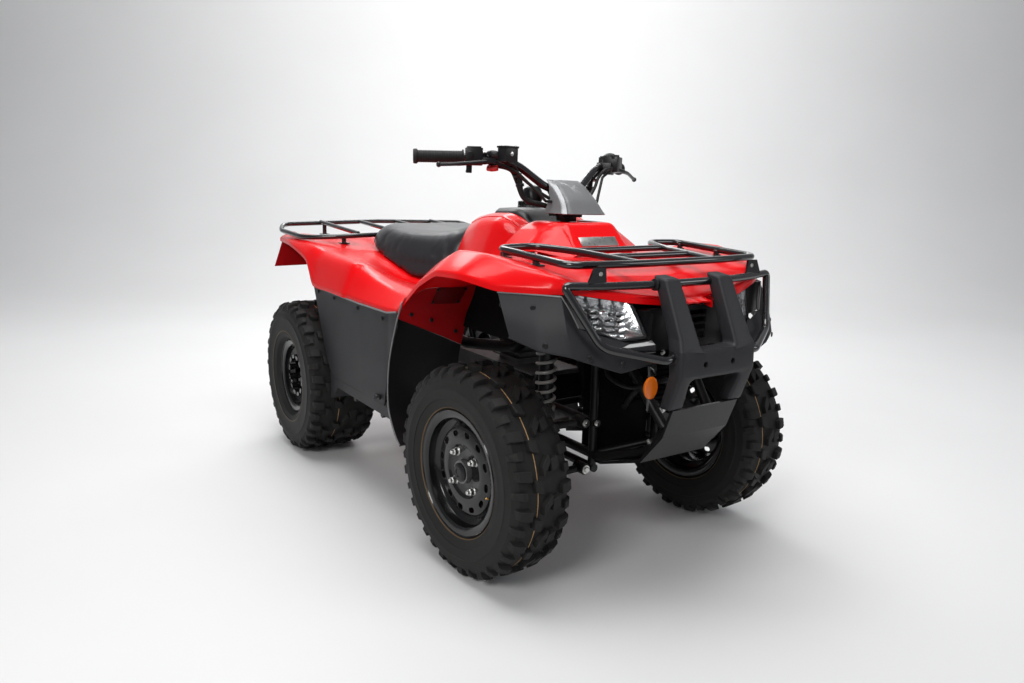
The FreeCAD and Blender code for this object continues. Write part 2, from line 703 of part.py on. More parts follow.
def make_front_side_covers():
    """Dark covers below the red moulding, round the corners and under the lamps."""
    rows = [
        # top x, top y, top z, low x, low y, low z
        (420, -655, 727.6, 420, -708, 634),
        (366, -728, 723, 384, -778, 612),
        (331, -776, 716, 334, -826, 602),
        (300, -802, 662, 284, -852, 584),
        (206, -838, 630, 218, -862, 562),
        (132, -862, 620, 140, -872, 575),
    ]
    skin = number(D.Skin)
    sections = []
    for top_x, top_y, top_z, low_x, low_y, low_z in rows:
        sections.append([(top_x, top_y, top_z), (low_x, low_y, low_z), (low_x - skin, low_y + 8, low_z),
                         (top_x - skin, top_y + 8, top_z)])
    return feature("front_side_covers", Part.makeCompound(both_sides(ruled(sections))))


def lamp_face(corners, depth):
    """Places corners of the front view on the lamps' slanted plane, moved back by a depth."""
    sweep, lean = 0.46, 0.316
    corner_x, corner_y, corner_z = 288, -768, 727
    return [(x, corner_y + sweep * (x - corner_x) + lean * (z - corner_z) + depth, z) for x, z in corners]


def make_headlamps():
    front = [(288, 727), (168, 712), (146, 640), (200, 638), (258, 660)]
    lens = ruled([lamp_face(front, 0), lamp_face(front, number(D.LampDepth))])
    return feature("headlamps", Part.makeCompound(both_sides(lens)))


def make_grille():
    """The dark panel between the lamps, with the plate that holds each lamp."""
    panel = box(-128, 128, -846, -838, 600, 700)
    window = box(-56, 56, -850, -830, 618, 688)
    bars = [box(-56, 56, -845, -839, z, z + 6) for z in (634, 652, 670)]
    back = [(286, 726), (138, 710), (138, 640), (200, 640), (256, 661)]
    start = number(D.LampDepth) + number(D.SeatGap)
    holder = ruled([lamp_face(back, start), lamp_face(back, start + 5)])
    web = box(100, 144, -846, -776, 650, 696)
    return feature("front_grille", fuse([panel.cut(window)] + bars + both_sides(holder.fuse(web))))


def make_guard():
    """Black tube guard, its charcoal cover with two uprights, and the skid plate below."""
    cover_half = 122
    end_x = cover_half + D.SeatGap
    half = [(end_x, -913, 603), (150, -913, 603), (303, -853, 646), (352, -792, 759), (240, -806, 754)]
    feature("guard_bar", tube(half + [(-x, y, z) for x, y, z in reversed(half)], D.GuardTube, [20, 22, 40, 120, 120, 40, 22, 20]))
    cover = new_body("guard_cover")
    foot = 473 + D.SeatGap
    side = [(-826, 776), (-872, 770), (-948, 616), (-950, 560), (-918, foot), (-884, foot), (-908, 556), (-904, 612),
            (-838, 752)]
    pad(cover, outline(cover, "YZ", side), 2 * cover_half, both=True)
    fork = [(-64, 790), (-56, 616), (56, 616), (64, 790)]
    pocket(cover, outline(cover, "XZ", fork, rounds=((1, 12), (2, 12)), offset=1000), 400)
    arch = [(-72, 460), (-84, 548), (84, 548), (72, 460)]
    pocket(cover, outline(cover, "XZ", arch, rounds=((1, 10), (2, 10)), offset=1000), 400)
    for side_x in (-45, 45):
        pocket(cover, circle(cover, "XZ", (side_x, 582), D.GuardHole, offset=1000), 400)
    place(cover, 0, 0, 0)
    skid = new_body("skid_plate")
    low = D.SkidZ
    shell = [(-918, 473), (-890, 400), (-820, 318), (-674, low), (-653, low), (-653, low + 6), (-672, low + 6),
             (-816, 325), (-883, 404), (-910, 473)]
    pad(skid, outline(skid, "YZ", shell), 216, both=True)
    place(skid, 0, 0, 0)


def make_racks():
    """Tube racks; their feet stand on the covers."""
    tube_r = number(D.RackTube)
    gap = number(D.SeatGap)
    half = [(104, -797, 799), (160, -540, 813), (200, -478, 816), (311, -482, 814), (309, -771, 799), (150, -797, 799)]
    loop = tube(half + [(-x, y, z) for x, y, z in reversed(half)], tube_r, [60, 34, 34, 34, 90, 90, 34, 34, 34, 60])
    middle = [rod((-305, -652, 805), (-130, -652, 806), tube_r - 2)]
    feet = []
    for x, y, z in ((-306, -500, 812), (-306, -640, 805)):
        feet.append(rod((x, y, highest_over(FRONT_FENDER, fender_line, x, y, 8) + gap), (x, y, z), 8))
    bracket = box(-264, -236, -806, -776, 754 + number(D.GuardTube) + 2 * gap + 1, 796)
    half = fuse(middle + feet + [bracket])
    feature("front_rack", fuse([loop] + both_sides(half)))
    loop = [(0, 560, 779), (-300, 562, 774), (-402, 650, 776), (-408, 880, 794), (-330, 939, 800), (0, 939, 800)]
    half_loop = tube(loop, tube_r, [60, 50, 50, 40])
    bars = [rod((x, 560, 779), (x, 939, 800), tube_r - 1) for x in (-246, -80)]
    feet = []
    for x, y in ((-246, 600), (-246, 880)):
        z = 779 + (y - 560) / 379 * 21
        feet.append(rod((x, y, highest_over(REAR_FENDER, fender_line, x, y, 8) + gap), (x, y, z), 8))
    feature("rear_rack", fuse(both_sides(fuse([half_loop] + bars + feet))))


def make_mudguards():
    """Dark guards behind the front wheels, from the liners' slanted edge down to their hooked lower tip."""
    body = new_body("mudguard_right")
    pad(body, outline(body, "YZ", GUARD_LINE + GUARD_BACK, offset=-455), 225)
    upper = [(-460, 600), (-460, 700), (-225, 700), (-225, 500)]
    pocket(body, outline(body, "XZ", upper), 800, both=True)
    place(body, 0, 0, 0)
    pair("mudguards", body)


def make_footboards():
    body = new_body("footboard_right")
    top = D.BoardTop
    board = [(-150.9, 300), (-139.6, 317), (-138.2, top), (290, top), (314, top + 12), (314, 252), (292, 256), (252, 300)]
    pad(body, outline(body, "YZ", board, offset=-456), 200)
    place(body, 0, 0, 0)
    pair("footboards", body)


def make_rear_side_panels():
    body = new_body("rear_side_panel_right")
    foot = D.BoardTop + D.SeatGap
    side = [(-140, 603), (442, 611), (350, 400), (314, 350), (290, foot), (-112, foot), (-126, 400), (-140, 480)]
    pad(body, outline(body, "YZ", side, offset=-459), D.Skin)
    place(body, 0, 0, 0)
    pair("rear_side_panels", body)


def make_lights():
    reflector = Part.makeCylinder(24, 9, Vector(-150, -880, 526), Vector(0, -1, 0))
    stem = box(-152.5, -147.5, -882, -868, 500, 572.2)
    feature("front_reflectors", Part.makeCompound(both_sides(fuse([reflector, stem]))))
    gap = number(D.SeatGap)
    rear_row = REAR_FENDER[-1]
    lamp = box(-60, 60, 905, 940, 690, rear_row[1] - number(D.Skin) - gap)
    round_red = Part.makeCylinder(26, 10, Vector(-366, rear_row[0] + gap, 738), Vector(0, 1, 0))
    feature("tail_lamps", Part.makeCompound([lamp] + both_sides(round_red)))


def make_frame():
    """Welded tubes: lower and upper rails, towers with the rails that carry the arms, stays and bearings."""
    r = number(D.RailRadius)
    x = number(D.RailX)
    gap = number(D.SeatGap)
    low = number(D.SkidZ) + 6 + r + gap
    lower = tube([(80, -873, 412), (80, -808, 336.4), (x, -668, low), (x, 140, low), (x, 300, 330), (x, 420, 600),
                  (x, 480, 668)], r, [60, 60, 80, 80, 60])
    upper = tube([(80, -866, 416), (x, -700, 610), (x, -560, 700), (x, -200, 690), (x, 120, 640), (x, 300, 668),
                  (x, 860, 700)], r, [60, 60, 120, 120, 120])
    tower_r = number(D.TowerRadius)
    towers = [rod((x, y, D.LowerArmZ), (x, y, 690), tower_r) for y in (D.TowerFrontY, D.TowerRearY)]
    rails = [rod((x, D.TowerFrontY - 12, z), (x, D.TowerRearY + 12, z), tower_r)
             for z in (D.LowerArmZ, D.UpperArmZ, D.ShockTopZ)]
    eye = number(D.ShockEye)
    hangers = []
    for side in (-1, 1):
        near = number(D.FrontAxleY) + side * (eye + gap)
        hangers.append(box(x, D.ShockX + 14, min(near, near + side * 5), max(near, near + side * 5),
                           D.ShockTopZ - 14, D.ShockTopZ + 14))
    outriggers = [rod((x, y, 300 - tower_r - gap), (440, y, 300 - tower_r - gap), tower_r) for y in (-60, 145)]
    lamp_stay = rod((x, -640, 655), (x, -776 + gap, 655), 8)
    stays = [lamp_stay]
    skin = number(D.Skin)
    for y, z in ((-600, 675), (-500, 698)):
        stays.append(rod((x, y, z), (x, y, lowest_over(FRONT_FENDER, fender_line, x, y, 9) - skin - gap), 9))
    for y, z in ((350, 670), (800, 696)):
        stays.append(rod((x, y, z), (x, y, lowest_over(REAR_FENDER, fender_line, x, y, 9) - skin - gap), 9))
    stays.append(rod((x, -200, 690), (x, -200, 727 - gap), 9))
    side = fuse([lower, upper] + towers + rails + hangers + outriggers + stays)
    cross = [rod((-x, y, z), (x, y, z), 10)
             for y, z in ((-640, low), (-396, low), (120, low), (860, 700), (-560, 700), (300, 668), (-640, D.ShockTopZ))]
    cross.append(rod((-80, -868, 414), (80, -868, 414), 10))
    foot = point(*COLUMN_FOOT)
    axis = point(*COLUMN_AXIS).normalize()
    holes = []
    for z in (number(D.UpperArmZ), number(D.ShockTopZ)):
        on_axis = foot + axis * ((z - foot.z) / axis.z)
        behind = on_axis.y + 30.5
        cross.append(rod((-x, behind, z), (x, behind, z), 10))
        cross.append(Part.makeCylinder(24, 26, on_axis - axis * 13, axis))
        holes.append(Part.makeCylinder(number(D.ColumnRadius) + gap, 60, on_axis - axis * 30, axis))
    feature("frame", fuse(both_sides(side) + cross).cut(holes[0].fuse(holes[1])))


def make_engine():
    """The engine as plain blocks at their real place, on its mounts, and the exhaust."""
    gap = number(D.SeatGap)
    rail_z = number(D.SkidZ + D.RailRadius) + 6
    rail_in = number(D.RailX - D.RailRadius) - gap
    crank = box(-88, 88, -330, 110, 276, 430)
    barrel = box(-52, 52, -210, -100, 430, 560)
    fins = [box(-68, 68, -226, -84, z, z + 5) for z in (446, 464, 482, 500, 518, 536)]
    head = box(-60, 60, -216, -94, 560, 606)
    mounts = [box(-rail_in, rail_in, y, y + 24, rail_z - 6, rail_z + 6) for y in (-262, 48)]
    feature("engine", fuse([crank, barrel, head] + fins + mounts))
    route = [(-40, -216 - gap, 583), (-40, -256, 583), (-96, -286, 500), (-150, -60, 480), (-175, 250, 520), (-185, 430, 545)]
    pipe = tube(route, 17, [24, 34, 80, 120])
    muffler = rod((-185, 425, 545), (-185, 800, 560), 50)
    bracket = box(-192, -number(D.RailX + D.RailRadius) - gap, 600, 606, 590, 696)
    feature("exhaust", fuse([pipe, muffler, bracket]))


def make_front_suspension():
    """Arms, shocks: each arm's bushes lie against its rail, each shock stands on its lower arm."""
    y = number(D.FrontAxleY)
    gap = number(D.SeatGap)
    bush_x = number(D.RailX + D.TowerRadius + D.ArmBush) + gap
    kx = number(D.KingpinX)
    eye = number(D.ArmEye)
    arms = []
    rows = ((D.LowerArmSpread, D.LowerArmZ, D.KingpinLow), (D.UpperArmSpread, D.UpperArmZ, D.KingpinHigh))
    for spread, z, outer_z in rows:
        parts = [rod((kx, y, outer_z - eye), (kx, y, outer_z + eye), 15)]
        for side in (-1, 1):
            bush_y = y + side * number(spread)
            parts.append(rod((bush_x, bush_y, z), (kx - 6, y + side * 6, outer_z), D.ArmTube))
            parts.append(rod((bush_x, bush_y - 18, z), (bush_x, bush_y + 18, z), D.ArmBush))
        arms.append(parts)
    sx = number(D.ShockX)
    share = (sx - bush_x) / (kx - 6 - bush_x)
    seat_z = number(D.LowerArmZ) + (number(D.KingpinLow) - number(D.LowerArmZ)) * share
    reach = number(D.LowerArmSpread) * (1 - share)
    arms[0].append(rod((sx, y - reach, seat_z), (sx, y + reach, seat_z), 9))
    feature("front_arms", Part.makeCompound([side for parts in arms for side in both_sides(fuse(parts))]))
    r = number(D.ShockEye)
    low_z = seat_z + 9 + r + gap
    top_z = number(D.ShockTopZ)
    eyes = [rod((sx, y - r, z), (sx, y + r, z), r) for z in (top_z, low_z)]
    damper = rod((sx, y, low_z), (sx, y, top_z), 12)
    spring = rod((sx, y, low_z + 66), (sx, y, top_z - 40), D.SpringRadius)
    feature("front_shocks", Part.makeCompound(both_sides(fuse(eyes + [damper, spring]))))


def make_rear_suspension():
    """Swingarm with the axle housing and final drive, the turning axle, the shock and the tow plate."""
    y = number(D.RearAxleY)
    z = number(D.AxleHeight)
    gap = number(D.SeatGap)
    housing = rod((-D.HousingHalf, y, z), (D.HousingHalf, y, z), D.HousingRadius)
    drive = rod((10, y, z), (100, y, z), 84)
    arms = both_sides(tube([(66, 160, 300), (66, 400, 300), (96, y, z)], 17, 200))
    pivot_end = number(D.RailX - D.RailRadius) - gap
    pivot = rod((-pivot_end, 160, 300), (pivot_end, 160, 300), 20)
    seat = rod((-66, 380, 300), (66, 380, 300), 12)
    bore = rod((-400, y, z), (400, y, z), D.ShaftRadius + D.ShaftGap)
    feature("swingarm", fuse([housing, drive, pivot, seat] + arms).cut(bore))
    shaft = rod((-D.RearTrackHalf, y, z), (D.RearTrackHalf, y, z), D.ShaftRadius)
    disc_x = D.RearTrackHalf + D.DiscFace - 4 - D.DiscWall - D.SeatGap
    hubs = both_sides(rod((-number(disc_x) + 40, y, z), (-disc_x, y, z), D.StudCircle + 10))
    caps = both_sides(rod((-disc_x, y, z), (-disc_x - 22, y, z), D.HubBore - 1))
    drum = rod((-250, y, z), (-210, y, z), 60)
    feature("rear_axle", fuse([shaft, drum] + hubs + caps))
    r = number(D.ShockEye)
    low = Vector(0, 380, 300 + 12 + r + gap)
    top = Vector(0, 300, 668 - 10 - r - gap)
    along = (top - low).normalize()
    eyes = [Part.makeCylinder(r, 28, spot - Vector(14, 0, 0), Vector(1, 0, 0)) for spot in (low, top)]
    damper = Part.makeCylinder(13, low.distanceToPoint(top), low, along)
    spring = Part.makeCylinder(30, 220, low + along * 52, along)
    feature("rear_shock", fuse(eyes + [damper, spring]))
    plate = Part.makeBox(80, 81, number(D.HitchPlate), Vector(-40, 664 + gap, 318))
    hole = rod((0, 715, 300), (0, 715, 340), D.HitchBore)
    feature("tow_hitch", plate.cut(hole))


def build():
    make_wheels()
    make_knuckles()
    make_tie_rods()
    parts, bar = make_steering()
    for part in parts + make_controls(bar) + [make_pod()]:
        place(part, 0, 0, 0, COLUMN_TURN)
    make_front_fender()
    make_nose_cowl()
    make_tank_cover()
    make_tank_top()
    make_seat()
    make_rear_fender()
    make_front_side_covers()
    make_headlamps()
    make_grille()
    make_guard()
    make_racks()
    make_mudguards()
    make_footboards()
    make_rear_side_panels()
    make_lights()
    make_frame()
    make_engine()
    make_front_suspension()
    make_rear_suspension()


def export():
    """Checks every piece and writes one file for each."""
    doc.recompute()
    os.makedirs(OUT, exist_ok=True)
    for thing in doc.Objects:
        if {"Invalid", "Error"} & set(thing.State):
            raise RuntimeError(f"{thing.Label} failed: {thing.State}")
    used = {link for thing in doc.Objects for link in thing.OutList if thing.TypeId == "Part::Compound"}
    bad = []
    for thing in doc.Objects:
        if thing.TypeId not in ("PartDesign::Body", "Part::Feature", "Part::Mirroring", "Part::Compound"):
            continue
        if thing in used:
            continue
        shape = thing.Shape
        if shape.isNull() or not shape.isValid():
            bad.append(thing.Label)
            continue
        shape.exportStep(f"{OUT}/{thing.Label}.step")
        print(f"{thing.Label}: {len(shape.Solids)} solids, {shape.Volume / 1000:.1f} cm3, {shape.BoundBox}")
    if bad:
        raise RuntimeError(f"no valid shape: {bad}")


build()
export()
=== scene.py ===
"""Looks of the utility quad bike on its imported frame: mouldings, tyres, rims, seat, controls and studio."""

import math

import bmesh
import bpy
from mathutils import Matrix, Vector


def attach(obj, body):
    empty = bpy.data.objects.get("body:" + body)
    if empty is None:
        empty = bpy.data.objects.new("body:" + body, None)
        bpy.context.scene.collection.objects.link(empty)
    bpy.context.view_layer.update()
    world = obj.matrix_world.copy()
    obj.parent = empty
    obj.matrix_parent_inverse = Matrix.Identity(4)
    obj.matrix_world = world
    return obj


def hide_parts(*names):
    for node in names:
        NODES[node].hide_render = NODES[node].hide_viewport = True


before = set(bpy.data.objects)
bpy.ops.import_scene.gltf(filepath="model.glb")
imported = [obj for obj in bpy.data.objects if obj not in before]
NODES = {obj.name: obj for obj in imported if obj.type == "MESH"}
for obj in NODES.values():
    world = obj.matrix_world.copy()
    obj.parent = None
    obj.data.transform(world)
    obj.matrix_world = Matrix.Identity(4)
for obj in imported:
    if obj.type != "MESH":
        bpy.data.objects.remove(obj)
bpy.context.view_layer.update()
MM = 0.001

COLUMN_FOOT = Vector((0, -0.491, 0.330))
COLUMN_UP = Vector((0, 160, 600)).normalized()
STEER_REST = math.radians(4)


def about(centre, axis, angle):
    """The turn by an angle round an axis through a point."""
    return Matrix.Translation(centre) @ Matrix.Rotation(angle, 4, axis) @ Matrix.Translation(-centre)


STEER = about(COLUMN_FOOT, COLUMN_UP, STEER_REST)
KNUCKLE = {side: about(Vector((side * 0.3, -0.537, 0)), Vector((0, 0, 1)), STEER_REST) for side in (-1, 1)}
SIDE_NAME = {-1: "right", 1: "left"}

# Degrees above which an edge shows sharp
SHARP_ANGLE = 35

# Wheels: places in metres, radii and widths in millimetres
FRONT_WHEEL = (0.390, -0.537, 0.270)
REAR_WHEEL = (0.393, 0.595, 0.270)
CARCASS = 255
SHOULDER = 26
LUG_TOP = 269.8
LUG_COUNT = 18
SLOT_COUNT = 12
STUD_CIRCLE = 55

# Seat, in metres
SEAT_VOXEL = 0.0065
SEAT_PUFF = 0.006
SEAT_FOOT = 0.716
SEAT_NOSE = 0.10

# Share of the cloth's move that the seat's foot and nose keep
SEAT_HELD = 0.2


# Materials

def shade(name, color, rough=0.5, metal=0.0, coat=0.0, vary=0.0, vary_scale=30.0, grain=0.0,
          grain_scale=900.0, wave=0.0, wave_scale=6.0, rough_vary=0.0, spec=0.5):
    """A surface with small changes of colour and roughness, fine grain and a slow waviness."""
    mat = bpy.data.materials.new(name)
    mat.use_nodes = True
    nodes = mat.node_tree.nodes
    links = mat.node_tree.links
    main = nodes["Principled BSDF"]
    main.inputs["Base Color"].default_value = (*color, 1)
    main.inputs["Roughness"].default_value = rough
    main.inputs["Metallic"].default_value = metal
    main.inputs["Coat Weight"].default_value = coat
    main.inputs["Coat Roughness"].default_value = 0.08
    main.inputs["Specular IOR Level"].default_value = spec
    place = nodes.new("ShaderNodeTexCoord")
    if vary or rough_vary:
        noise = nodes.new("ShaderNodeTexNoise")
        noise.inputs["Scale"].default_value = vary_scale
        noise.inputs["Detail"].default_value = 5
        links.new(place.outputs["Object"], noise.inputs["Vector"])
        if vary:
            ramp = nodes.new("ShaderNodeMapRange")
            ramp.inputs["To Min"].default_value = 1 - vary
            ramp.inputs["To Max"].default_value = 1 + vary
            links.new(noise.outputs["Fac"], ramp.inputs["Value"])
            tint = nodes.new("ShaderNodeVectorMath")
            tint.operation = "SCALE"
            tint.inputs[0].default_value = color
            links.new(ramp.outputs["Result"], tint.inputs["Scale"])
            links.new(tint.outputs["Vector"], main.inputs["Base Color"])
        if rough_vary:
            spread = nodes.new("ShaderNodeMapRange")
            spread.inputs["To Min"].default_value = max(rough - rough_vary, 0.03)
            spread.inputs["To Max"].default_value = rough + rough_vary
            links.new(noise.outputs["Fac"], spread.inputs["Value"])
            links.new(spread.outputs["Result"], main.inputs["Roughness"])
    last = None
    for strength, scale, distance in ((wave, wave_scale, 0.004), (grain, grain_scale, 0.0006)):
        if not strength:
            continue
        noise = nodes.new("ShaderNodeTexNoise")
        noise.inputs["Scale"].default_value = scale
        noise.inputs["Detail"].default_value = 3
        links.new(place.outputs["Object"], noise.inputs["Vector"])
        bump = nodes.new("ShaderNodeBump")
        bump.inputs["Strength"].default_value = strength
        bump.inputs["Distance"].default_value = distance
        links.new(noise.outputs["Fac"], bump.inputs["Height"])
        if last:
            links.new(last.outputs["Normal"], bump.inputs["Normal"])
        last = bump
    if last:
        links.new(last.outputs["Normal"], main.inputs["Normal"])
    return mat


def tyre_shade():
    """Dusty rubber with a thin tan line round the tread and one at the bead."""
    mat = shade("tyre", (0.017, 0.0165, 0.016), 0.60, vary=0.35, vary_scale=14, grain=0.35, grain_scale=500,
                rough_vary=0.12, spec=0.16)
    nodes = mat.node_tree.nodes
    links = mat.node_tree.links
    main = nodes["Principled BSDF"]
    under = main.inputs["Base Color"].links[0].from_socket
    place = next(node for node in nodes if node.type == "TEX_COORD")
    split = nodes.new("ShaderNodeSeparateXYZ")
    links.new(place.outputs["Object"], split.inputs["Vector"])

    def calc(kind, first, second):
        """The output of a math node on values or sockets."""
        node = nodes.new("ShaderNodeMath")
        node.operation = kind
        for index, value in enumerate((first, second)):
            if isinstance(value, (int, float)):
                node.inputs[index].default_value = value
            elif value is not None:
                links.new(value, node.inputs[index])
        return node.outputs["Value"]

    line_x, line_half, line_low, line_top = -0.022, 0.0011, 0.21, 0.2568
    bead_radius, bead_half, bead_share = 0.1635, 0.0012, 0.25
    shift = calc("ABSOLUTE", calc("SUBTRACT", split.outputs["X"], line_x), None)
    line = calc("LESS_THAN", shift, line_half)
    square = calc("ADD", calc("MULTIPLY", split.outputs["Y"], split.outputs["Y"]),
                  calc("MULTIPLY", split.outputs["Z"], split.outputs["Z"]))
    radius = calc("SQRT", square, None)
    tread = calc("MULTIPLY", calc("GREATER_THAN", radius, line_low), calc("LESS_THAN", radius, line_top))
    bead = calc("LESS_THAN", calc("ABSOLUTE", calc("SUBTRACT", radius, bead_radius), None), bead_half)
    both = calc("MAXIMUM", calc("MULTIPLY", line, tread), calc("MULTIPLY", bead, bead_share))
    mix = nodes.new("ShaderNodeMix")
    mix.data_type = "RGBA"
    links.new(both, mix.inputs["Factor"])
    links.new(under, mix.inputs["A"])
    mix.inputs["B"].default_value = (0.42, 0.26, 0.12, 1)
    links.new(mix.outputs["Result"], main.inputs["Base Color"])
    return mat


def glass_shade(name, color, rough=0.03, clear=1.0):
    """Clear or tinted glass with a faint ripple."""
    mat = bpy.data.materials.new(name)
    mat.use_nodes = True
    nodes = mat.node_tree.nodes
    main = nodes["Principled BSDF"]
    main.inputs["Base Color"].default_value = (*color, 1)
    main.inputs["Roughness"].default_value = rough
    main.inputs["Transmission Weight"].default_value = clear
    main.inputs["IOR"].default_value = 1.45
    noise = nodes.new("ShaderNodeTexNoise")
    noise.inputs["Scale"].default_value = 40
    bump = nodes.new("ShaderNodeBump")
    bump.inputs["Strength"].default_value = 0.02
    mat.node_tree.links.new(noise.outputs["Fac"], bump.inputs["Height"])
    mat.node_tree.links.new(bump.outputs["Normal"], main.inputs["Normal"])
    return mat


RED = shade("red plastic", (0.70, 0.002, 0.004), 0.24, coat=0.14, vary=0.04, vary_scale=5, wave=0.06,
            wave_scale=7, rough_vary=0.05, spec=0.16)
# The fenders' red at half brightness: painted shade for the arch liners and the rear flap
SHADED_RED = shade("red in painted shade", (0.34, 0.003, 0.005), 0.42, vary=0.12, vary_scale=9, grain=0.2, spec=0.2)
# The fenders' red darker still: painted shade on the liners' raised panels
DEEP_SHADED_RED = shade("red in deep painted shade", (0.11, 0.001, 0.002), 0.45, vary=0.12, grain=0.2, spec=0.15)
DARK = shade("charcoal plastic", (0.022, 0.022, 0.0245), 0.46, vary=0.14, vary_scale=10, grain=0.45,
             grain_scale=1100, rough_vary=0.08, spec=0.22)
EDGE = shade("pale edge", (0.16, 0.16, 0.165), 0.5, vary=0.1)
BLACK = shade("black plastic", (0.008, 0.008, 0.009), 0.34, vary=0.2, grain=0.2, spec=0.3)
# Near-black that hardly reflects: painted shade for the arch walls, the cooler and the blocks under the nose
SHADE_BLACK = shade("painted shade black", (0.004, 0.004, 0.004), 0.7, vary=0.3, grain=0.3, spec=0.06)
SILVER = shade("silver plastic", (0.19, 0.195, 0.20), 0.34, metal=0.35, coat=0.25, vary=0.05, grain=0.12,
               grain_scale=1400, rough_vary=0.05)
TUBE = shade("gloss tube", (0.006, 0.006, 0.007), 0.20, coat=0.6, vary=0.1, wave=0.04, wave_scale=25)
FRAME_BLACK = shade("satin frame", (0.006, 0.006, 0.006), 0.38, vary=0.3, grain=0.2, spec=0.25)
RIM = shade("rim paint", (0.006, 0.006, 0.0065), 0.24, coat=0.4, vary=0.2, vary_scale=20, rough_vary=0.06,
            spec=0.2)
TYRE = tyre_shade()
RUBBER = shade("soft rubber", (0.009, 0.009, 0.009), 0.55, vary=0.2, grain=0.4, grain_scale=700, spec=0.25)
ZINC = shade("zinc", (0.55, 0.55, 0.53), 0.30, metal=1.0, vary=0.12, vary_scale=60, rough_vary=0.1)
CAST = shade("cast metal", (0.16, 0.16, 0.16), 0.48, metal=0.7, vary=0.25, vary_scale=40, grain=0.6,
             grain_scale=400)
BRASS = shade("brass", (0.55, 0.33, 0.10), 0.3, metal=1.0, vary=0.1)
VINYL = shade("seat vinyl", (0.013, 0.014, 0.016), 0.36, coat=0.1, vary=0.12, vary_scale=8, grain=0.6,
              grain_scale=620, rough_vary=0.06, spec=0.4)
MIRROR = shade("lamp reflector", (0.90, 0.91, 0.92), 0.20, metal=1.0, vary=0.03)
SPRING = shade("spring paint", (0.20, 0.20, 0.19), 0.32, vary=0.12, vary_scale=50)
LENS = glass_shade("lamp lens", (1, 1, 1))
AMBER = glass_shade("amber lens", (0.86, 0.19, 0.010), 0.18, 0.35)
RED_LENS = glass_shade("red lens", (0.75, 0.01, 0.01), 0.15, 0.3)
CONTROL_RED = shade("red knob", (0.45, 0.01, 0.01), 0.4, vary=0.1)


# Mesh helpers

def piece(name, verts, faces, mat, body, replaces=(), slot=None, matrix=None):
    """A mesh object that rides on a body and may stand for CAD nodes."""
    mesh = bpy.data.meshes.new(name)
    mesh.from_pydata([tuple(v) for v in verts], [], faces)
    mesh.validate()
    obj = bpy.data.objects.new(name, mesh)
    bpy.context.scene.collection.objects.link(obj)
    mesh.materials.append(mat)
    if matrix is not None:
        obj.matrix_world = matrix
        bpy.context.view_layer.update()
    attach(obj, body)
    if replaces:
        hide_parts(*replaces)
    return obj


def angles(count):
    """Evenly spaced angles of a full turn."""
    return [2 * math.pi * k / count for k in range(count)]


def wheel_point(x, radius, angle):
    """A point of a wheel that turns round X, from the wheel's middle."""
    return Vector((x, radius * math.cos(angle), radius * math.sin(angle)))


def wrap(rings, count):
    """The faces between closed rings of points that follow one another."""
    return [(i * count + k, i * count + (k + 1) % count, (i + 1) * count + (k + 1) % count,
             (i + 1) * count + k) for i in range(rings - 1) for k in range(count)]


def caps(rings, count):
    """The faces that close the first and the last ring."""
    return [tuple(range(count))[::-1], tuple((rings - 1) * count + k for k in range(count))]


def prism(count, start=0):
    """The faces of a prism on two rings that follow one another."""
    faces = [tuple(start + k for k in range(count)), tuple(start + 2 * count - 1 - k for k in range(count))]
    return faces + [(start + k, start + count + k, start + count + (k + 1) % count, start + (k + 1) % count)
                    for k in range(count)]


def settle(obj, angle=SHARP_ANGLE):
    """Applies the modifiers, then shades smooth with sharp edges above an angle."""
    bpy.context.view_layer.update()
    graph = bpy.context.evaluated_depsgraph_get()
    mesh = bpy.data.meshes.new_from_object(obj.evaluated_get(graph))
    obj.modifiers.clear()
    old = obj.data
    obj.data = mesh
    bpy.data.meshes.remove(old)
    mesh.shade_smooth()
    mesh.set_sharp_from_angle(angle=math.radians(angle))
    return obj


def outwards(mesh):
    """Turns every face of a closed mesh to face out."""
    bm = bmesh.new()
    bm.from_mesh(mesh)
    bmesh.ops.recalc_face_normals(bm, faces=bm.faces)
    bm.to_mesh(mesh)
    bm.free()


def make_tool(name, verts, faces):
    """A closed mesh object that other pieces are cut with."""
    mesh = bpy.data.meshes.new(name)
    mesh.from_pydata([tuple(v) for v in verts], [], faces)
    outwards(mesh)
    tool = bpy.data.objects.new(name, mesh)
    bpy.context.scene.collection.objects.link(tool)
    return tool


def cut(obj, tools):
    """Adds a cut by each tool."""
    for tool in tools:
        mod = obj.modifiers.new("cut", "BOOLEAN")
        mod.object = tool
        mod.operation = "DIFFERENCE"
        mod.solver = "EXACT"


def drop(tools):
    """Takes the tools out of the scene."""
    for tool in tools:
        mesh = tool.data
        bpy.data.objects.remove(tool)
        bpy.data.meshes.remove(mesh)


def cutter(points, radius):
    """A prism along the machine on a front view with rounded corners."""
    ring = ring_points(points, radius, 6)
    verts = [Vector((x, y, z)) * MM for y in (-1000, -700) for x, z in ring]
    return make_tool("cutter", verts, prism(len(ring)))


def bevel(obj, width, segments=3, angle=30):
    """Adds a bevel to the edges above an angle."""
    mod = obj.modifiers.new("bevel", "BEVEL")
    mod.width = width
    mod.segments = segments
    mod.limit_method = "ANGLE"
    mod.angle_limit = math.radians(angle)
    return mod


def spline(stations, steps, tension):
    """Stations between the given ones; tension 0 keeps straight runs and 1 gives round ones."""
    out = []
    last = len(stations) - 1
    for i in range(last):
        rows = (stations[max(i - 1, 0)], stations[i], stations[i + 1], stations[min(i + 2, last)])
        for s in range(steps):
            t = s / steps
            row = []
            for a, b, c, d in zip(*rows):
                curve = 0.5 * (2 * b + (c - a) * t + (2 * a - 5 * b + 4 * c - d) * t * t
                               + (3 * b - a - 3 * c + d) * t ** 3)
                row.append(b.lerp(c, t).lerp(curve, tension))
            out.append(row)
    out.append(stations[-1])
    return out


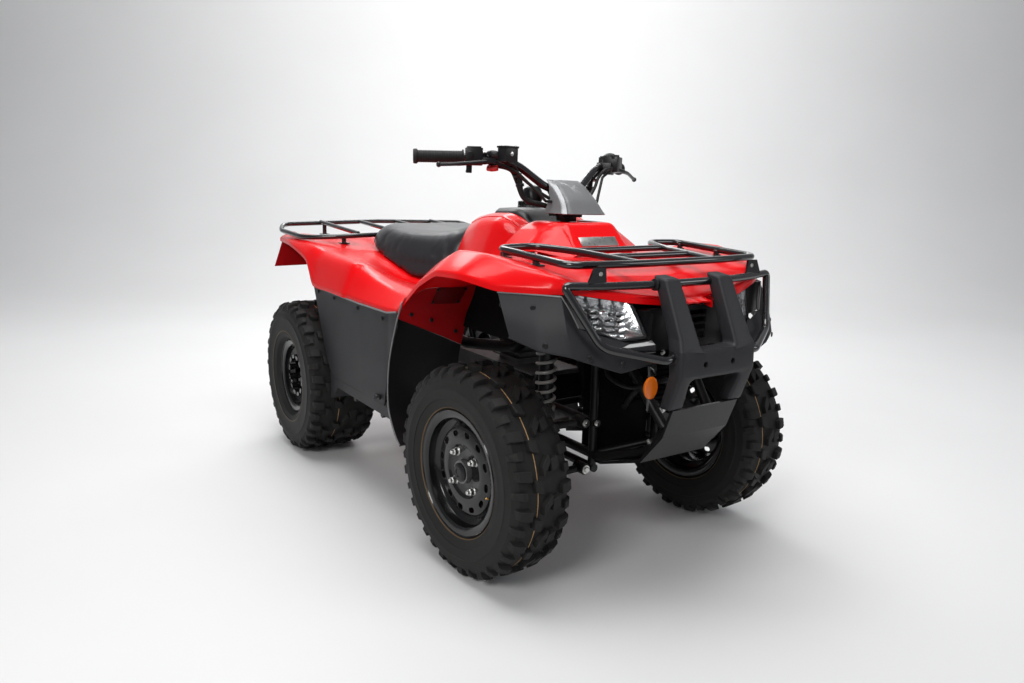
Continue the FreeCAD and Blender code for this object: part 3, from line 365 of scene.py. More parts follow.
def rounded(points, radii, arc=5, straight=4, crown=Vector((0, 0, 0))):
    """A line through the points with round corners; crown bows each straight run."""
    out = []
    start = points[0]

    def run(a, b, with_end):
        count = straight + 1 if with_end else straight
        for k in range(count):
            t = k / straight
            out.append(a.lerp(b, t) + crown * (4 * t * (1 - t)))

    for index in range(1, len(points) - 1):
        corner = points[index]
        before = corner - points[index - 1]
        after = points[index + 1] - corner
        reach = min(radii[index - 1] * MM, 0.45 * before.length, 0.45 * after.length)
        a = corner - before.normalized() * reach
        b = corner + after.normalized() * reach
        run(start, a, False)
        for k in range(arc):
            t = k / arc
            out.append(a.lerp(corner, t).lerp(corner.lerp(b, t), t))
        start = b
    run(start, points[-1], True)
    return out


def ring_points(outline, radius, per=5):
    """The outline's corners rounded, as one closed ring."""
    pts = [Vector((x, z)) for x, z in outline]
    out = []
    for k, p in enumerate(pts):
        before = (pts[k - 1] - p).normalized()
        after = (pts[(k + 1) % len(pts)] - p).normalized()
        for s in range(per):
            t = s / (per - 1)
            a = p + before * radius
            b = p + after * radius
            out.append(tuple(a.lerp(p, t).lerp(p.lerp(b, t), t)))
    return out


def loft(name, stations, radii, mat, body, steps=6, tension=0.6, crown=(0, 0, 0), trim=None, thick=4.0,
         outward=(0, 0, 1), replaces=(), slot=None, matrix=None, arc=5, angle=40):
    """A moulded sheet through stations of corner points in millimetres, mirrored to the other side."""
    rows = spline([[Vector(p) * MM for p in row] for row in stations], steps, tension)
    if trim:
        rows = [trim(row) for row in rows]
    lines = [rounded(row, radii, arc, crown=Vector(crown) * MM) for row in rows]
    width = len(lines[0])
    verts = [p for line in lines for p in line]
    faces = [(i * width + j, i * width + j + 1, (i + 1) * width + j + 1, (i + 1) * width + j)
             for i in range(len(lines) - 1) for j in range(width - 1)]
    total = Vector()
    for face in faces:
        a, b, c, d = (verts[k] for k in face)
        total += (c - a).cross(d - b)
    if total.dot(Vector(outward)) < 0:
        faces = [face[::-1] for face in faces]
    obj = piece(name, verts, faces, mat, body, replaces, slot, matrix)
    mod = obj.modifiers.new("mirror", "MIRROR")
    mod.use_clip = True
    mod.merge_threshold = 0.0008
    mod = obj.modifiers.new("skin", "SOLIDIFY")
    mod.thickness = thick * MM
    mod.offset = -1
    return settle(obj, angle)


class Kit:
    """Small solids of one material, gathered into one piece. Sizes are millimetres."""

    def __init__(self):
        self.verts = []
        self.faces = []

    def add(self, verts, faces):
        """Adds a mesh in metres."""
        base = len(self.verts)
        self.verts += verts
        self.faces += [tuple(base + k for k in face) for face in faces]

    def box(self, centre, size, turn=None):
        """A box about its centre."""
        turn = turn or Matrix.Identity(3)
        centre = Vector(centre) * MM
        half = Vector(size) * MM / 2
        corners = [centre + turn @ Vector((a * half.x, b * half.y, c * half.z))
                   for a in (-1, 1) for b in (-1, 1) for c in (-1, 1)]
        self.add(corners, [(0, 1, 3, 2), (4, 6, 7, 5), (0, 4, 5, 1), (2, 3, 7, 6), (0, 2, 6, 4),
                           (1, 5, 7, 3)])

    def turn(self, start, axis, profile, sides=24):
        """A solid of revolution: profile holds (distance along the axis, radius) in millimetres."""
        start = Vector(start) * MM
        axis = Vector(axis).normalized()
        side = axis.orthogonal().normalized()
        other = axis.cross(side)
        verts = [start + axis * along * MM + (side * math.cos(a) + other * math.sin(a)) * radius * MM
                 for along, radius in profile for a in angles(sides)]
        self.add(verts, wrap(len(profile), sides) + caps(len(profile), sides))

    def cyl(self, start, end, radius, sides=20):
        """A rod with eased ends."""
        axis = Vector(end) - Vector(start)
        length = axis.length
        ease = min(0.8, length / 3, radius / 3)
        profile = [(0, radius - ease), (ease, radius), (length - ease, radius), (length, radius - ease)]
        self.turn(start, axis, profile, sides)

    def bolt(self, spot, axis, radius, height):
        """A hex head on its washer."""
        self.turn(spot, axis, [(0, radius * 1.45), (1.2, radius * 1.45)], 16)
        self.turn(Vector(spot) + Vector(axis).normalized(), axis,
                  [(0, radius), (height * 0.75, radius), (height, radius * 0.78)], 6)

    def screw(self, spot, axis, radius):
        """A low round head with a socket."""
        self.turn(spot, axis, [(-1, radius), (1.0, radius), (2.2, radius * 0.8), (2.5, radius * 0.45),
                               (1.2, radius * 0.4)], 16)

    def hose(self, points, radius, sides=10, steps=8, tension=1.0):
        """A round hose through the points; a list of radii runs along it."""
        line = [row[0] for row in spline([[Vector(p) * MM] for p in points], steps, tension)]
        side = (line[1] - line[0]).orthogonal().normalized()
        verts = []
        for k, spot in enumerate(line):
            ahead = (line[min(k + 1, len(line) - 1)] - line[max(k - 1, 0)]).normalized()
            side = (side - ahead * side.dot(ahead)).normalized()
            other = ahead.cross(side)
            size = radius[k * (len(radius) - 1) // (len(line) - 1)] if isinstance(radius, list) else radius
            verts += [spot + (side * math.cos(a) + other * math.sin(a)) * size * MM for a in angles(sides)]
        self.add(verts, wrap(len(line), sides) + caps(len(line), sides))

    def pipe(self, points, radii, radius, sides=18):
        """A tube through the points with round bends."""
        line = rounded([Vector(p) * MM for p in points], radii, 6, 1)
        self.hose([p / MM for p in line], radius, sides, 1, 0)

    def slab(self, corners, lift):
        """A flat plate on four corners, raised by a vector."""
        corners = [Vector(p) * MM for p in corners]
        verts = corners + [p + Vector(lift) * MM for p in corners]
        self.add(verts, [(0, 1, 2, 3), (7, 6, 5, 4), (0, 4, 5, 1), (1, 5, 6, 2), (2, 6, 7, 3), (3, 7, 4, 0)])

    def plate(self, corners, front, depth):
        """An upright plate with the given front view, from its front face backwards."""
        self.slab([(x, front, z) for x, z in corners], (0, depth, 0))

    def coil(self, start, end, radius, wire, turns):
        """A spring between two points."""
        start = Vector(start)
        axis = Vector(end) - start
        side = axis.orthogonal().normalized()
        other = axis.normalized().cross(side)
        per_turn = 20
        count = int(turns * per_turn)
        points = []
        for k in range(count + 1):
            a = 2 * math.pi * k / per_turn
            points.append(start + axis * k / count + (side * math.cos(a) + other * math.sin(a)) * radius)
        self.hose(points, wire, 8, 1, 0)

    def mirrored(self):
        """Adds the same solids on the other side."""
        base = len(self.verts)
        faces = list(self.faces)
        self.verts += [Vector((-v.x, v.y, v.z)) for v in self.verts[:base]]
        self.faces += [tuple(base + k for k in face[::-1]) for face in faces]
        return self

    def done(self, name, mat, body, replaces=(), slot=None, matrix=None, soften=0.0):
        """Makes the piece; soften is the bevel of its edges."""
        obj = piece(name, self.verts, self.faces, mat, body, replaces, slot, matrix)
        if soften:
            bevel(obj, soften * MM, 2)
        return settle(obj)


def dress(names, mat):
    """Gives CAD nodes a finish and smooth shading."""
    for name in names:
        mesh = NODES[name].data
        mesh.materials.clear()
        mesh.materials.append(mat)
        for poly in mesh.polygons:
            poly.use_smooth = True
        mesh.set_sharp_from_angle(angle=math.radians(SHARP_ANGLE))


dress(["frame", "front_arms", "swingarm", "steering_column", "exhaust", "tow_hitch"], FRAME_BLACK)
dress(["engine", "knuckle_right", "knuckle_left", "rear_axle"], CAST)
dress(["tie_rod_right", "tie_rod_left"], ZINC)
dress(["control_cables"], RUBBER)
dress(["footboards"], DARK)
dress(["tail_lamps"], RED_LENS)
dress(["front_grille", "skid_plate"], BLACK)


# Mouldings

FRONT_FENDER = [
    # y, middle z, deck half width and z, crest half width and z, lip half width and z
    (-872, 712, 28, 713, 38, 712, 48, 696),
    (-846, 718, 32, 720, 42, 719, 52, 702),
    (-836, 724, 110, 728, 158, 733, 176, 715),
    (-790, 738, 200, 744, 272, 752, 292, 734),
    (-750, 758, 268, 766, 330, 776, 350, 734),
    (-655, 778, 290, 784, 382, 794, 424, 734),
    (-560, 785, 300, 790, 398, 812, 468, 752),
    (-440, 785, 300, 788, 400, 810, 466, 746),
    (-335, 765, 300, 760, 396, 770, 458, 706),
    (-250, 700, 300, 690, 392, 692, 452, 655),
]
REAR_FENDER = [
    (-249.5, 697, 300, 689, 392, 691, 452, 654),
    (-190, 697, 300, 668, 396, 670, 454, 612),
    (-60, 700, 250, 656, 398, 676, 456, 606),
    (60, 712, 256, 652, 402, 692, 456, 607),
    (150, 718, 262, 656, 412, 716, 459, 609),
    (184, 718, 264, 664, 424, 728, 464, 610),
    (300, 718, 268, 698, 428, 730, 463, 612),
    (445, 712, 262, 727, 432, 732, 463, 614),
    (530, 724, 262, 734, 430, 744, 455, 690),
    (720, 744, 262, 750, 416, 758, 446, 726),
    (925, 746, 262, 750, 390, 758, 418, 728),
]
# Side view of a mudguard below its first corner, as y and z
GUARD_LINE = [(-150, 470), (-138, 390), (-146, 320), (-186, 262), (-214, 240)]


def fender_stations(rows):
    """Half sections of a fender from the rows of its table."""
    return [[(0, y, mid_z), (-deck_x, y, deck_z), (-crest_x, y, crest_z), (-lip_x, y, lip_z + 14),
             (-lip_x, y, lip_z)] for y, mid_z, deck_x, deck_z, crest_x, crest_z, lip_x, lip_z in rows]


def cover_stations(rows):
    """Half sections of a cover from rows of y, then z and half width of its top, side and foot."""
    return [[(0, y, top_z), (-top_x, y, top_z), (-side_x, y, side_z), (-foot_x, y, foot_z)]
            for y, top_z, top_x, side_z, side_x, foot_z, foot_x in rows]


def open_middle(near, low, high):
    """A trim that keeps a sheet out of the middle between two places along the machine."""
    def trim(row):
        if low * MM < row[0].y < high * MM:
            share = min(near * MM / abs(row[1].x), 0.97)
            row = [row[0].lerp(row[1], share)] + row[1:]
        return row
    return trim


def build_mouldings():
    """The red and dark covers, each a skin over its CAD node, with the arches' liners and walls in painted
    shade.
    """
    loft("front_fender_skin", fender_stations(FRONT_FENDER), [22, 12, 6], RED, "chassis", tension=0.35,
         crown=(0, 0, 1.2), trim=open_middle(165, -478, 0), replaces=["front_fender"], slot="red_plastic",
         outward=(-0.3, 0, 1))
    loft("rear_fender_skin", fender_stations(REAR_FENDER), [22, 44, 6], RED, "chassis", tension=0.6,
         crown=(0, 0, 1.2), trim=open_middle(222, -262, 66), replaces=["rear_fender"], slot="red_plastic",
         outward=(-0.3, 0, 1))
    # The flap and the liners below are red in painted shade, darker than the fenders
    flap = [[(-412, 905, 742), (-300, 905, 753)], [(-432, 898, 690), (-300, 898, 690)],
            [(-450, 902, 634), (-300, 902, 636)]]
    loft("rear_flap", flap, [], SHADED_RED, "chassis", outward=(0, 1, 0), slot="red_plastic")
    liner = [[(-453, -251, 664), (-392, -253, 688), (-300, -254, 690), (-230, -254, 694)],
             [(-455, -237, 650), (-392, -238, 654), (-300, -238, 654), (-230, -238, 654)],
             [(-455, -216, 622), (-392, -209, 610), (-300, -203, 602), (-230, -200, 598)],
             [(-455, -205, 602), (-392, -190, 574), (-300, -172, 534), (-230, -162, 501)]]
    loft("wheel_liners", liner, [10, 10], SHADED_RED, "chassis", outward=(0, -1, 0), slot="red_plastic",
         tension=0.3)
    # A near-black wall inside each front arch: painted shade that closes the view through under the fender
    wall = [[(-236, y, top), (-236, y, 560)] for y, top in (
        (-640, 770), (-560, 778), (-440, 777), (-336, 756), (-256, 690), (-238, 654), (-200, 600),
        (-184, 561))]
    loft("arch_shade_walls", wall, [], SHADE_BLACK, "chassis", outward=(-1, 0, 0), slot="black_plastic", tension=0)
    cowl = cover_stations((
        (-335, 872, 98, 850, 148, 800, 205), (-420, 872, 86, 852, 124, 800, 196),
        (-458, 870, 79, 850, 100, 801, 178), (-508, 812, 86, 806, 97, 788, 130),
        (-530, 797, 88, 793, 98, 787, 108)))
    loft("nose_cowl_skin", cowl, [9, 9], RED, "chassis", tension=0.25, crown=(0, 0, 1.0),
         trim=open_middle(52, -436, 0), replaces=["nose_cowl"], slot="red_plastic", outward=(-0.3, 0, 1))
    tank = cover_stations((
        (-322, 856, 88, 838, 142, 742, 206), (-296, 862, 94, 844, 150, 740, 211),
        (-262, 878, 104, 860, 156, 733, 213), (-220, 888, 112, 868, 158, 728, 214),
        (-110, 884, 100, 858, 146, 716, 194)))
    tank.append([(-x, -5 + (878 - z) * 0.05, z) for x, z in ((0, 872), (80, 870), (124, 828), (170, 706))])
    loft("tank_cover_skin", tank, [30, 40], RED, "chassis", tension=0.6, crown=(-1.5, 0, 1.5),
         replaces=["tank_cover"], slot="red_plastic", outward=(-1, 0, 1), arc=7)
    top = []
    for y, z, rise, top_x, edge_x in (
            (-318, 857.3, 4, 66, 78), (-296, 862.3, 5, 72, 84), (-262, 878.3, 13, 80, 92),
            (-220, 888.3, 15, 84, 98), (-110, 884.3, 14, 72, 86)):
        top.append([(0, y, z + rise), (-top_x, y, z + rise), (-edge_x, y, z)])
    loft("tank_top_skin", top, [14], BLACK, "chassis", tension=0.7, crown=(0, 0, 1), thick=3,
         replaces=["tank_top_cover"], slot="black_plastic")
    kit = Kit()
    kit.turn((0, -170, 896), (0, 0, 1), [(0, 37), (10, 37), (12, 34), (20, 33), (25, 30), (26, 20)], 40)
    for a in angles(20):
        kit.box((34 * math.cos(a), -170 + 34 * math.sin(a), 913), (4, 4, 14), Matrix.Rotation(a, 3, "Z"))
    kit.turn((-40, -250, 880), (0, 0.1, 1), [(0, 11), (8, 10), (13, 6), (15, 0.5)], 16)
    kit.done("tank_cap", BLACK, "chassis", slot="black_plastic", soften=0.8)
    covers = []
    for top_x, top_y, top_z, low_x, low_y, low_z in (
            (420, -655, 731, 420, -708, 634), (366, -728, 732, 384, -778, 612),
            (331, -776, 731, 334, -826, 602), (300, -802, 662, 284, -852, 584),
            (206, -838, 630, 218, -862, 562), (132, -862, 620, 140, -872, 575)):
        mid = Vector((-(top_x + low_x) / 2 - 5, (top_y + low_y) / 2 - 5, (top_z + low_z) / 2 + 4))
        covers.append([(-top_x, top_y, top_z), tuple(mid), (-low_x, low_y, low_z),
                       (-low_x + 10, low_y + 22, low_z - 4)])
    loft("front_side_skins", covers, [40, 5], DARK, "chassis", tension=0.2, replaces=["front_side_covers"],
         slot="dark_plastic", outward=(-1, -1, 0), angle=20)
    edge = Kit()
    edge.hose([(-421, -655, 731.5), (-366, -730, 732), (-331, -778, 731.5)], 1.8, 8, 8, 0.5)
    edge.hose([(-331, -778, 731), (-316, -792, 700), (-301, -804, 663)], 1.6, 8, 8, 0.5)
    guard_edge = [(-236, 652), (-205, 602), (-176, 540)] + GUARD_LINE
    edge.hose([(-456.5, y, z) for y, z in guard_edge], 2.4, 8, 8, 0.8)
    edge.hose([(-459, y, z) for y, z in ((-200, 619), (-140, 609), (60, 607), (442, 612.5))], 2.6, 8, 2, 0)
    edge.mirrored().done("pale_edges", EDGE, "chassis", slot="dark_plastic")
    guard = []
    for x, y, high in ((-455, -200.8, 602), (-342, -181.52, 552), (-230, -161.885, 501)):
        guard.append([(x, y, high - 1)] + [(x, y, min(z, high - 8)) for y, z in GUARD_LINE])
    loft("mudguard_skins", guard, [60, 60, 40, 30, 20], BLACK, "chassis", thick=5, replaces=["mudguards"],
         slot="dark_plastic", outward=(0, -1, 0), steps=4)
    panel = []
    for y, low, high, x in (
            (-200, 580, 622, 455), (-168, 520, 613, 456), (-140, 480, 612, 454), (-126, 400, 611, 455),
            (-112, 331, 610.5, 456), (44, 331, 609.5, 460), (52, 331, 609.5, 456), (290, 331, 613.5, 457),
            (316, 352, 614, 457), (350, 400, 614.5, 457), (442, 610, 615.5, 459)):
        panel.append([(-x, y, high), (-x - 0.5, y, (low + high) / 2), (-x, y, low)])
    loft("rear_side_skins", panel, [40], DARK, "chassis", tension=0, steps=2, replaces=["rear_side_panels"],
         slot="dark_plastic", outward=(-1, 0, 0), angle=20)
    # Raised panel on each liner, red in deep painted shade
    inset = Kit()
    inset.slab(((-357, -251.5, 688), (-264, -251.5, 684), (-284, -239, 638), (-373, -240, 642)), (0, -3, 0))
    inset.mirrored().done("liner_insets", DEEP_SHADED_RED, "chassis", slot="red_plastic", soften=1)


# Pod, guard, tubes and lamps

def build_pod():
    """Silver shield over the bar's clamp, a round meter behind it and the black neck below."""
    rows = ((984, -346, 52, 22), (978, -356, 55, 23), (966, -372, 60, 25), (932, -410, 68, 54),
            (905, -430, 76, 74), (894, -438, 81, 84))
    stations = []
    for z, front, half, depth in rows:
        stations.append([(0, front - 2, z), (-half * 0.7, front, z), (-half, front + 10, z),
                         (-half - 5, front + depth, z)])
    loft("pod_skin", stations, [18, 9], SILVER, "steering", tension=0.85, crown=(0, -1, 0), thick=3,
         replaces=["handlebar_pod"], slot="silver_plastic", outward=(0, -1, 0.3), matrix=STEER)
    kit = Kit()
    kit.box((0, -368, 905), (70, 22, 44))
    kit.box((0, -352, 886), (44, 36, 30))
    meter = [(0, 12), (2, 20), (10, 26), (34, 28), (46, 24), (52, 12), (53, 2)]
    kit.turn((-68, -286, 914), (0, 0.25, 1), meter, 32)
    kit.cyl((0, -330, 880), (0, -330, 960), 16, 24)
    kit.box((34, -330, 936), (44, 40, 40))
    kit.done("pod_inside", BLACK, "steering", slot="silver_plastic", soften=1.5, matrix=STEER)
    bright = Kit()
    for x, z in ((-62, 900), (-52, 908), (-66, 912)):
        bright.box((x, -376, z), (12, 5, 9), Matrix.Rotation(0.5, 3, "Y"))
    bright.done("pod_clips", ZINC, "steering", slot="zinc_steel", soften=1, matrix=STEER)


def build_guard():
    """The guard's cover with its rounded windows and bolt holes."""
    side = [(-826, 776), (-872, 770), (-948, 616), (-950, 560), (-918, 473.3), (-884, 473.3), (-908, 556),
            (-904, 612), (-838, 752)]
    verts = [Vector((x, y, z)) * MM for x in (-122, 122) for y, z in side]
    obj = piece("guard_cover_skin", verts, prism(len(side)), DARK, "chassis", ["guard_cover"], "dark_plastic")
    outwards(obj.data)
    tools = [cutter([(-64, 800), (-56, 616), (56, 616), (64, 800)], 13),
             cutter([(-72, 450), (-84, 548), (84, 548), (72, 450)], 16)]
    for x in (-1, 1):
        tools.append(cutter([(x * 130, 800), (x * 108, 800), (x * 115, 640), (x * 130, 590)], 3))
    cut(obj, tools)
    bevel(obj, 0.008, 4, 28).use_clamp_overlap = False
    settle(obj, 40)
    holes = [cutter([(x + 7 * math.cos(a), 582 + 7 * math.sin(a)) for a in angles(20)], 0.4)
             for x in (-45, 45)]
    cut(obj, holes)
    settle(obj, 40)
    drop(tools + holes)
    kit = Kit()
    for x in (-1, 1):
        kit.turn((x * 118, -922, 600), (x, 0, 0), [(0, 15), (5, 15), (7, 12)], 24)
        kit.turn((x * 104, -842, 755), (x, 0, 0), [(0, 14), (12, 14), (14, 11)], 24)
        kit.screw((x * 108, -906, 486), (0, -1, 0), 6)
    kit.done("guard_screws", BLACK, "chassis", slot="dark_plastic")


def build_tubes():
    """Guard bar, both racks and the handlebar, each a tube with drawn bends."""
    guard = Kit()
    half = [(122, -922, 600), (146, -928, 596), (272, -853, 623), (336, -790, 757), (240, -813, 754),
            (104, -842, 755)]
    line = half + [(-x, y, z) for x, y, z in reversed(half)]
    guard.pipe(line, [14, 24, 16, 60, 30, 30, 60, 16, 24, 14], 9.5)
    guard.done("guard_tube", TUBE, "chassis", ["guard_bar"], "tube_paint")
    front = Kit()
    half = [(122, -797, 799), (150, -586, 811), (200, -478, 816), (311, -482, 814), (309, -771, 799),
            (150, -797, 799)]
    front.pipe(half + [(-x, y, z) for x, y, z in reversed(half)], [50, 34, 34, 34, 90, 90, 34, 34, 34, 50], 9)
    front.cyl((-148, -586, 811), (148, -586, 811), 8)
    front.cyl((-134, -700, 805), (134, -700, 805), 8)
    for side in (-1, 1):
        front.cyl((side * 306, -500, 790), (side * 306, -500, 812), 8)
        front.cyl((side * 306, -640, 784), (side * 306, -640, 805), 8)
        front.plate(((side * 232, 762), (side * 236, 796), (side * 268, 796), (side * 284, 762)), -812, 6)
    front.done("front_rack_tubes", TUBE, "chassis", ["front_rack"], "tube_paint")
    rear = Kit()
    loop = [(0, 560, 779), (-300, 556, 770), (-420, 640, 762), (-428, 880, 773), (-398, 940, 792),
            (0, 940, 800)]
    rear.pipe(loop, [60, 50, 50, 40], 9)
    for x in (-246, -80):
        rear.cyl((x, 560, 779), (x, 940, 799), 8)
    for x, y, low in ((-292, 584, 742), (-246, 900, 752)):
        rear.cyl((x, y, low), (x, y, 774 + (y - 560) * 0.06), 8)
    rear.mirrored().done("rear_rack_tubes", TUBE, "chassis", ["rear_rack"], "tube_paint")
    bar = Kit()
    half = [(383, -163, 1032), (228, -258, 1036), (150, -300, 1024), (56, -332, 958)]
    bar.pipe(half + [(-x, y, z) for x, y, z in reversed(half)], [40, 30, 30, 30, 30, 40], 11)
    bar.done("handlebar_tube", TUBE, "steering", ["handlebar"], "tube_paint", STEER)


def lamp_point(x, z, depth):
    """A point behind the slanted face of the right headlamp, from its distance aside and its height."""
    return Vector((-x, -768 + 0.46 * (x - 288) + 0.316 * (z - 727) + depth, z))


def build_lamps():
    """Stepped bowl behind a clear lens with a dark surround, cheek and gloss chin."""
    outline = [(292, 734), (168, 714), (146, 638), (204, 630), (258, 652)]
    mid_x, mid_z = 212, 682

    def shrunk(steps):
        """The outline at shares of its size and depths behind the lamp's face."""
        return [[lamp_point(mid_x + (x - mid_x) * share, mid_z + (z - mid_z) * share, depth)
                 for x, z in ring_points(outline, 8)] for share, depth in steps]

    lens = shrunk(((1.0, 14), (1.0, 3), (0.985, 0.5), (0.6, -2.5), (0.0, -4)))
    build_rings("lamp_lenses", lens, LENS, "lamp_glass", ["headlamps"], True)
    bowl = shrunk(((0.985, 5), (0.95, 12), (0.93, 30), (0.6, 52), (0.2, 57), (0.0, 58)))
    build_rings("lamp_bowls", bowl, MIRROR, "lamp_glass", (), False)
    facets = Kit()
    shadows = Kit()
    lean = Matrix.Rotation(0.5, 3, "X")
    for row in range(6):
        z = 708 - row * 13
        for low, high in ((166 + row * 1.5, 188), (190, 216), (218, 244), (246, 276 - row * 5)):
            if high - low < 8:
                continue
            x = (low + high) / 2
            rise = (x - mid_x) * 0.12
            facets.box(lamp_point(x, z + rise, 38), (high - low, 22, 5.5), lean)
            if row in (1, 2):
                shadows.box(lamp_point(x, z - 6 + rise, 34), (high - low - 5, 6, 4))
    facets.turn(lamp_point(214, 684, 36), (-0.1, -1, 0.1), [(0, 13), (6, 13), (9, 11), (12, 6)], 20)
    facets.mirrored().done("lamp_facets", MIRROR, "chassis", slot="lamp_glass", soften=0.8)
    shadows.mirrored().done("lamp_shadows", BLACK, "chassis", slot="black_plastic")
    rim = Kit()
    for (x, z), (next_x, next_z) in zip(outline, outline[1:] + outline[:1]):
        middle = lamp_point((x + next_x) / 2, (z + next_z) / 2, 5)
        rim.hose([lamp_point(x, z, 6), middle, lamp_point(next_x, next_z, 6)], 4, 8, 4, 0)
    rim.mirrored().done("lamp_surrounds", BLACK, "chassis", slot="black_plastic")
    shell = [[tuple(lamp_point(x, z, depth))
              for x, z in ((300, 722), (266, 645), (206, 622), (138, 630), (122, 690))]
             for depth in (2, 30, 48)]
    loft("lamp_housings", shell, [10, 10, 10], BLACK, "chassis", thick=3, slot="black_plastic",
         outward=(0, 0, -1), tension=0)
    cheek = [[tuple(lamp_point(x, z, 3)) for x, z in ((292, 734), (275, 693), (258, 652))],
             [(-329, -774, 730), (-314, -787, 696), (-298, -800, 662)]]
    loft("lamp_cheeks", cheek, [10], BLACK, "chassis", thick=3, slot="black_plastic", outward=(0, -1, 0),
         tension=0)
    chin = [[tuple(lamp_point(x, z - fall, depth)) for x, z in ((266, 646), (206, 624), (136, 632))]
            for fall, depth in ((0, 4), (10, -8), (26, -4), (34, 20))]
    loft("lamp_chins", chin, [16], TUBE, "chassis", thick=3, slot="black_plastic",
         outward=(0, -1, 0.2), tension=0.4)


def build_rings(name, rings, mat, slot, replaces, outward):
    """A sheet through closed rings in millimetres, mirrored to the other side."""
    verts = [p * MM for ring in rings for p in ring]
    faces = wrap(len(rings), len(rings[0]))
    if not outward:
        faces = [face[::-1] for face in faces]
    obj = piece(name, verts, faces, mat, "chassis", replaces, slot)
    mod = obj.modifiers.new("mirror", "MIRROR")
    mod.merge_threshold = 0.0001
    if outward:
        mod = obj.modifiers.new("skin", "SOLIDIFY")
        mod.thickness = 0.0025
    return settle(obj, 50)


# Wheels

def tyre_radius(x, half):
    """Outer radius of the carcass at a distance from its middle plane."""
    inside = half - SHOULDER
    x = abs(x)
    if x < inside:
        return CARCASS + 1.5 - 4.0 * (x / inside) ** 2
    return CARCASS - 2.5 - 27 * ((x - inside) / SHOULDER) ** 2.2


def build_tyre(name, half, flange, rim_half, body, replaces, matrix):
    """Carcass with rolled beads, and rows of lugs round it."""
    profile = [(rim_half - 7, flange - 15.6), (rim_half - 5, flange + 2), (rim_half, flange + 6),
               (half - 8, flange + 14), (half - 3.5, flange + 26), (half - 3.2, flange + 28.5),
               (half - 1.5, flange + 29), (half - 1.2, CARCASS - 50), (half - 0.2, CARCASS - 47),
               (half, CARCASS - 42), (half - 1.5, CARCASS - 40), (half - 3, CARCASS - 32)]
    crown = (half - 4, half - 9, half - 16, half - 26, half - 40, half * 0.3, 0)
    profile += [(x, tyre_radius(x, half)) for x in crown]
    line = profile + [(-x, r) for x, r in reversed(profile[:-1])]
    around = 108
    verts = [wheel_point(x, r, a) * MM for x, r in line for a in angles(around)]
    faces = wrap(len(line), around)

    def block(stations, height):
        """A lug through stations of x in millimetres and two angles in degrees."""
        start = len(verts)
        last = len(stations) - 1
        for index, (x, low, high) in enumerate(stations):
            end = index in (0, last)
            r = tyre_radius(x, half)
            top = min(r + height - (1.2 if end else 0), LUG_TOP)
            mid = (low + high) / 2
            for angle, radius in ((low - 0.3, r - 4), (low, top - 1.0), (low + 0.24, top), (high - 0.24, top),
                                  (high, top - 1.0), (high + 0.3, r - 4)):
                if end:
                    angle = mid + (angle - mid) * 0.94
                verts.append(wheel_point(x, radius, math.radians(angle)) * MM)
        for i in range(last):
            for k in range(start + i * 6, start + i * 6 + 5):
                faces.append((k, k + 1, k + 7, k + 6))
        faces.append(tuple(start + k for k in range(6))[::-1])
        faces.append(tuple(start + last * 6 + k for k in range(6)))

    # Each lug is its height and its stations: distance in from the side, then its two angles
    lugs = [(14.5, ((43, 0.2, 5.0), (41, 0, 5.2), (26, -0.4, 4.8), (13, -0.8, 4.2), (9, -0.9, 4.0))),
            (11.0, ((31, 10.2, 14.0), (29, 10, 14.2), (18, 9.8, 14.0), (7, 9.8, 13.4), (4, 9.9, 13.2))),
            (14.5, ((72, 6.4, 12.2), (69, 6.0, 12.2), (53, 5.0, 10.8), (50, 5.2, 10.4)))]
    if half > 100:
        lugs.append((14.5, ((106, 1.0, 6.4), (103, 0.6, 6.6), (84, -1.2, 4.6), (81, -1.0, 4.2))))
    pitch = 360 / LUG_COUNT
    for k in range(LUG_COUNT):
        for side, shift in ((1, 0), (-1, pitch / 2)):
            a = k * pitch + shift
            for height, rows in lugs:
                stations = [(side * (half - inset), a + low, a + high) for inset, low, high in rows]
                block(stations if side > 0 else stations[::-1], height)
        a = k * pitch + 3
        slant = [(-12, a + 6.2, a + 10.6), (-9, a + 5.4, a + 10.6), (9, a + 0.8, a + 6.0),
                 (12, a + 0.8, a + 5.2)]
        block(slant, 14.6)
    return settle(piece(name, verts, faces, TYRE, body, replaces, "tyre_rubber", matrix), 24)


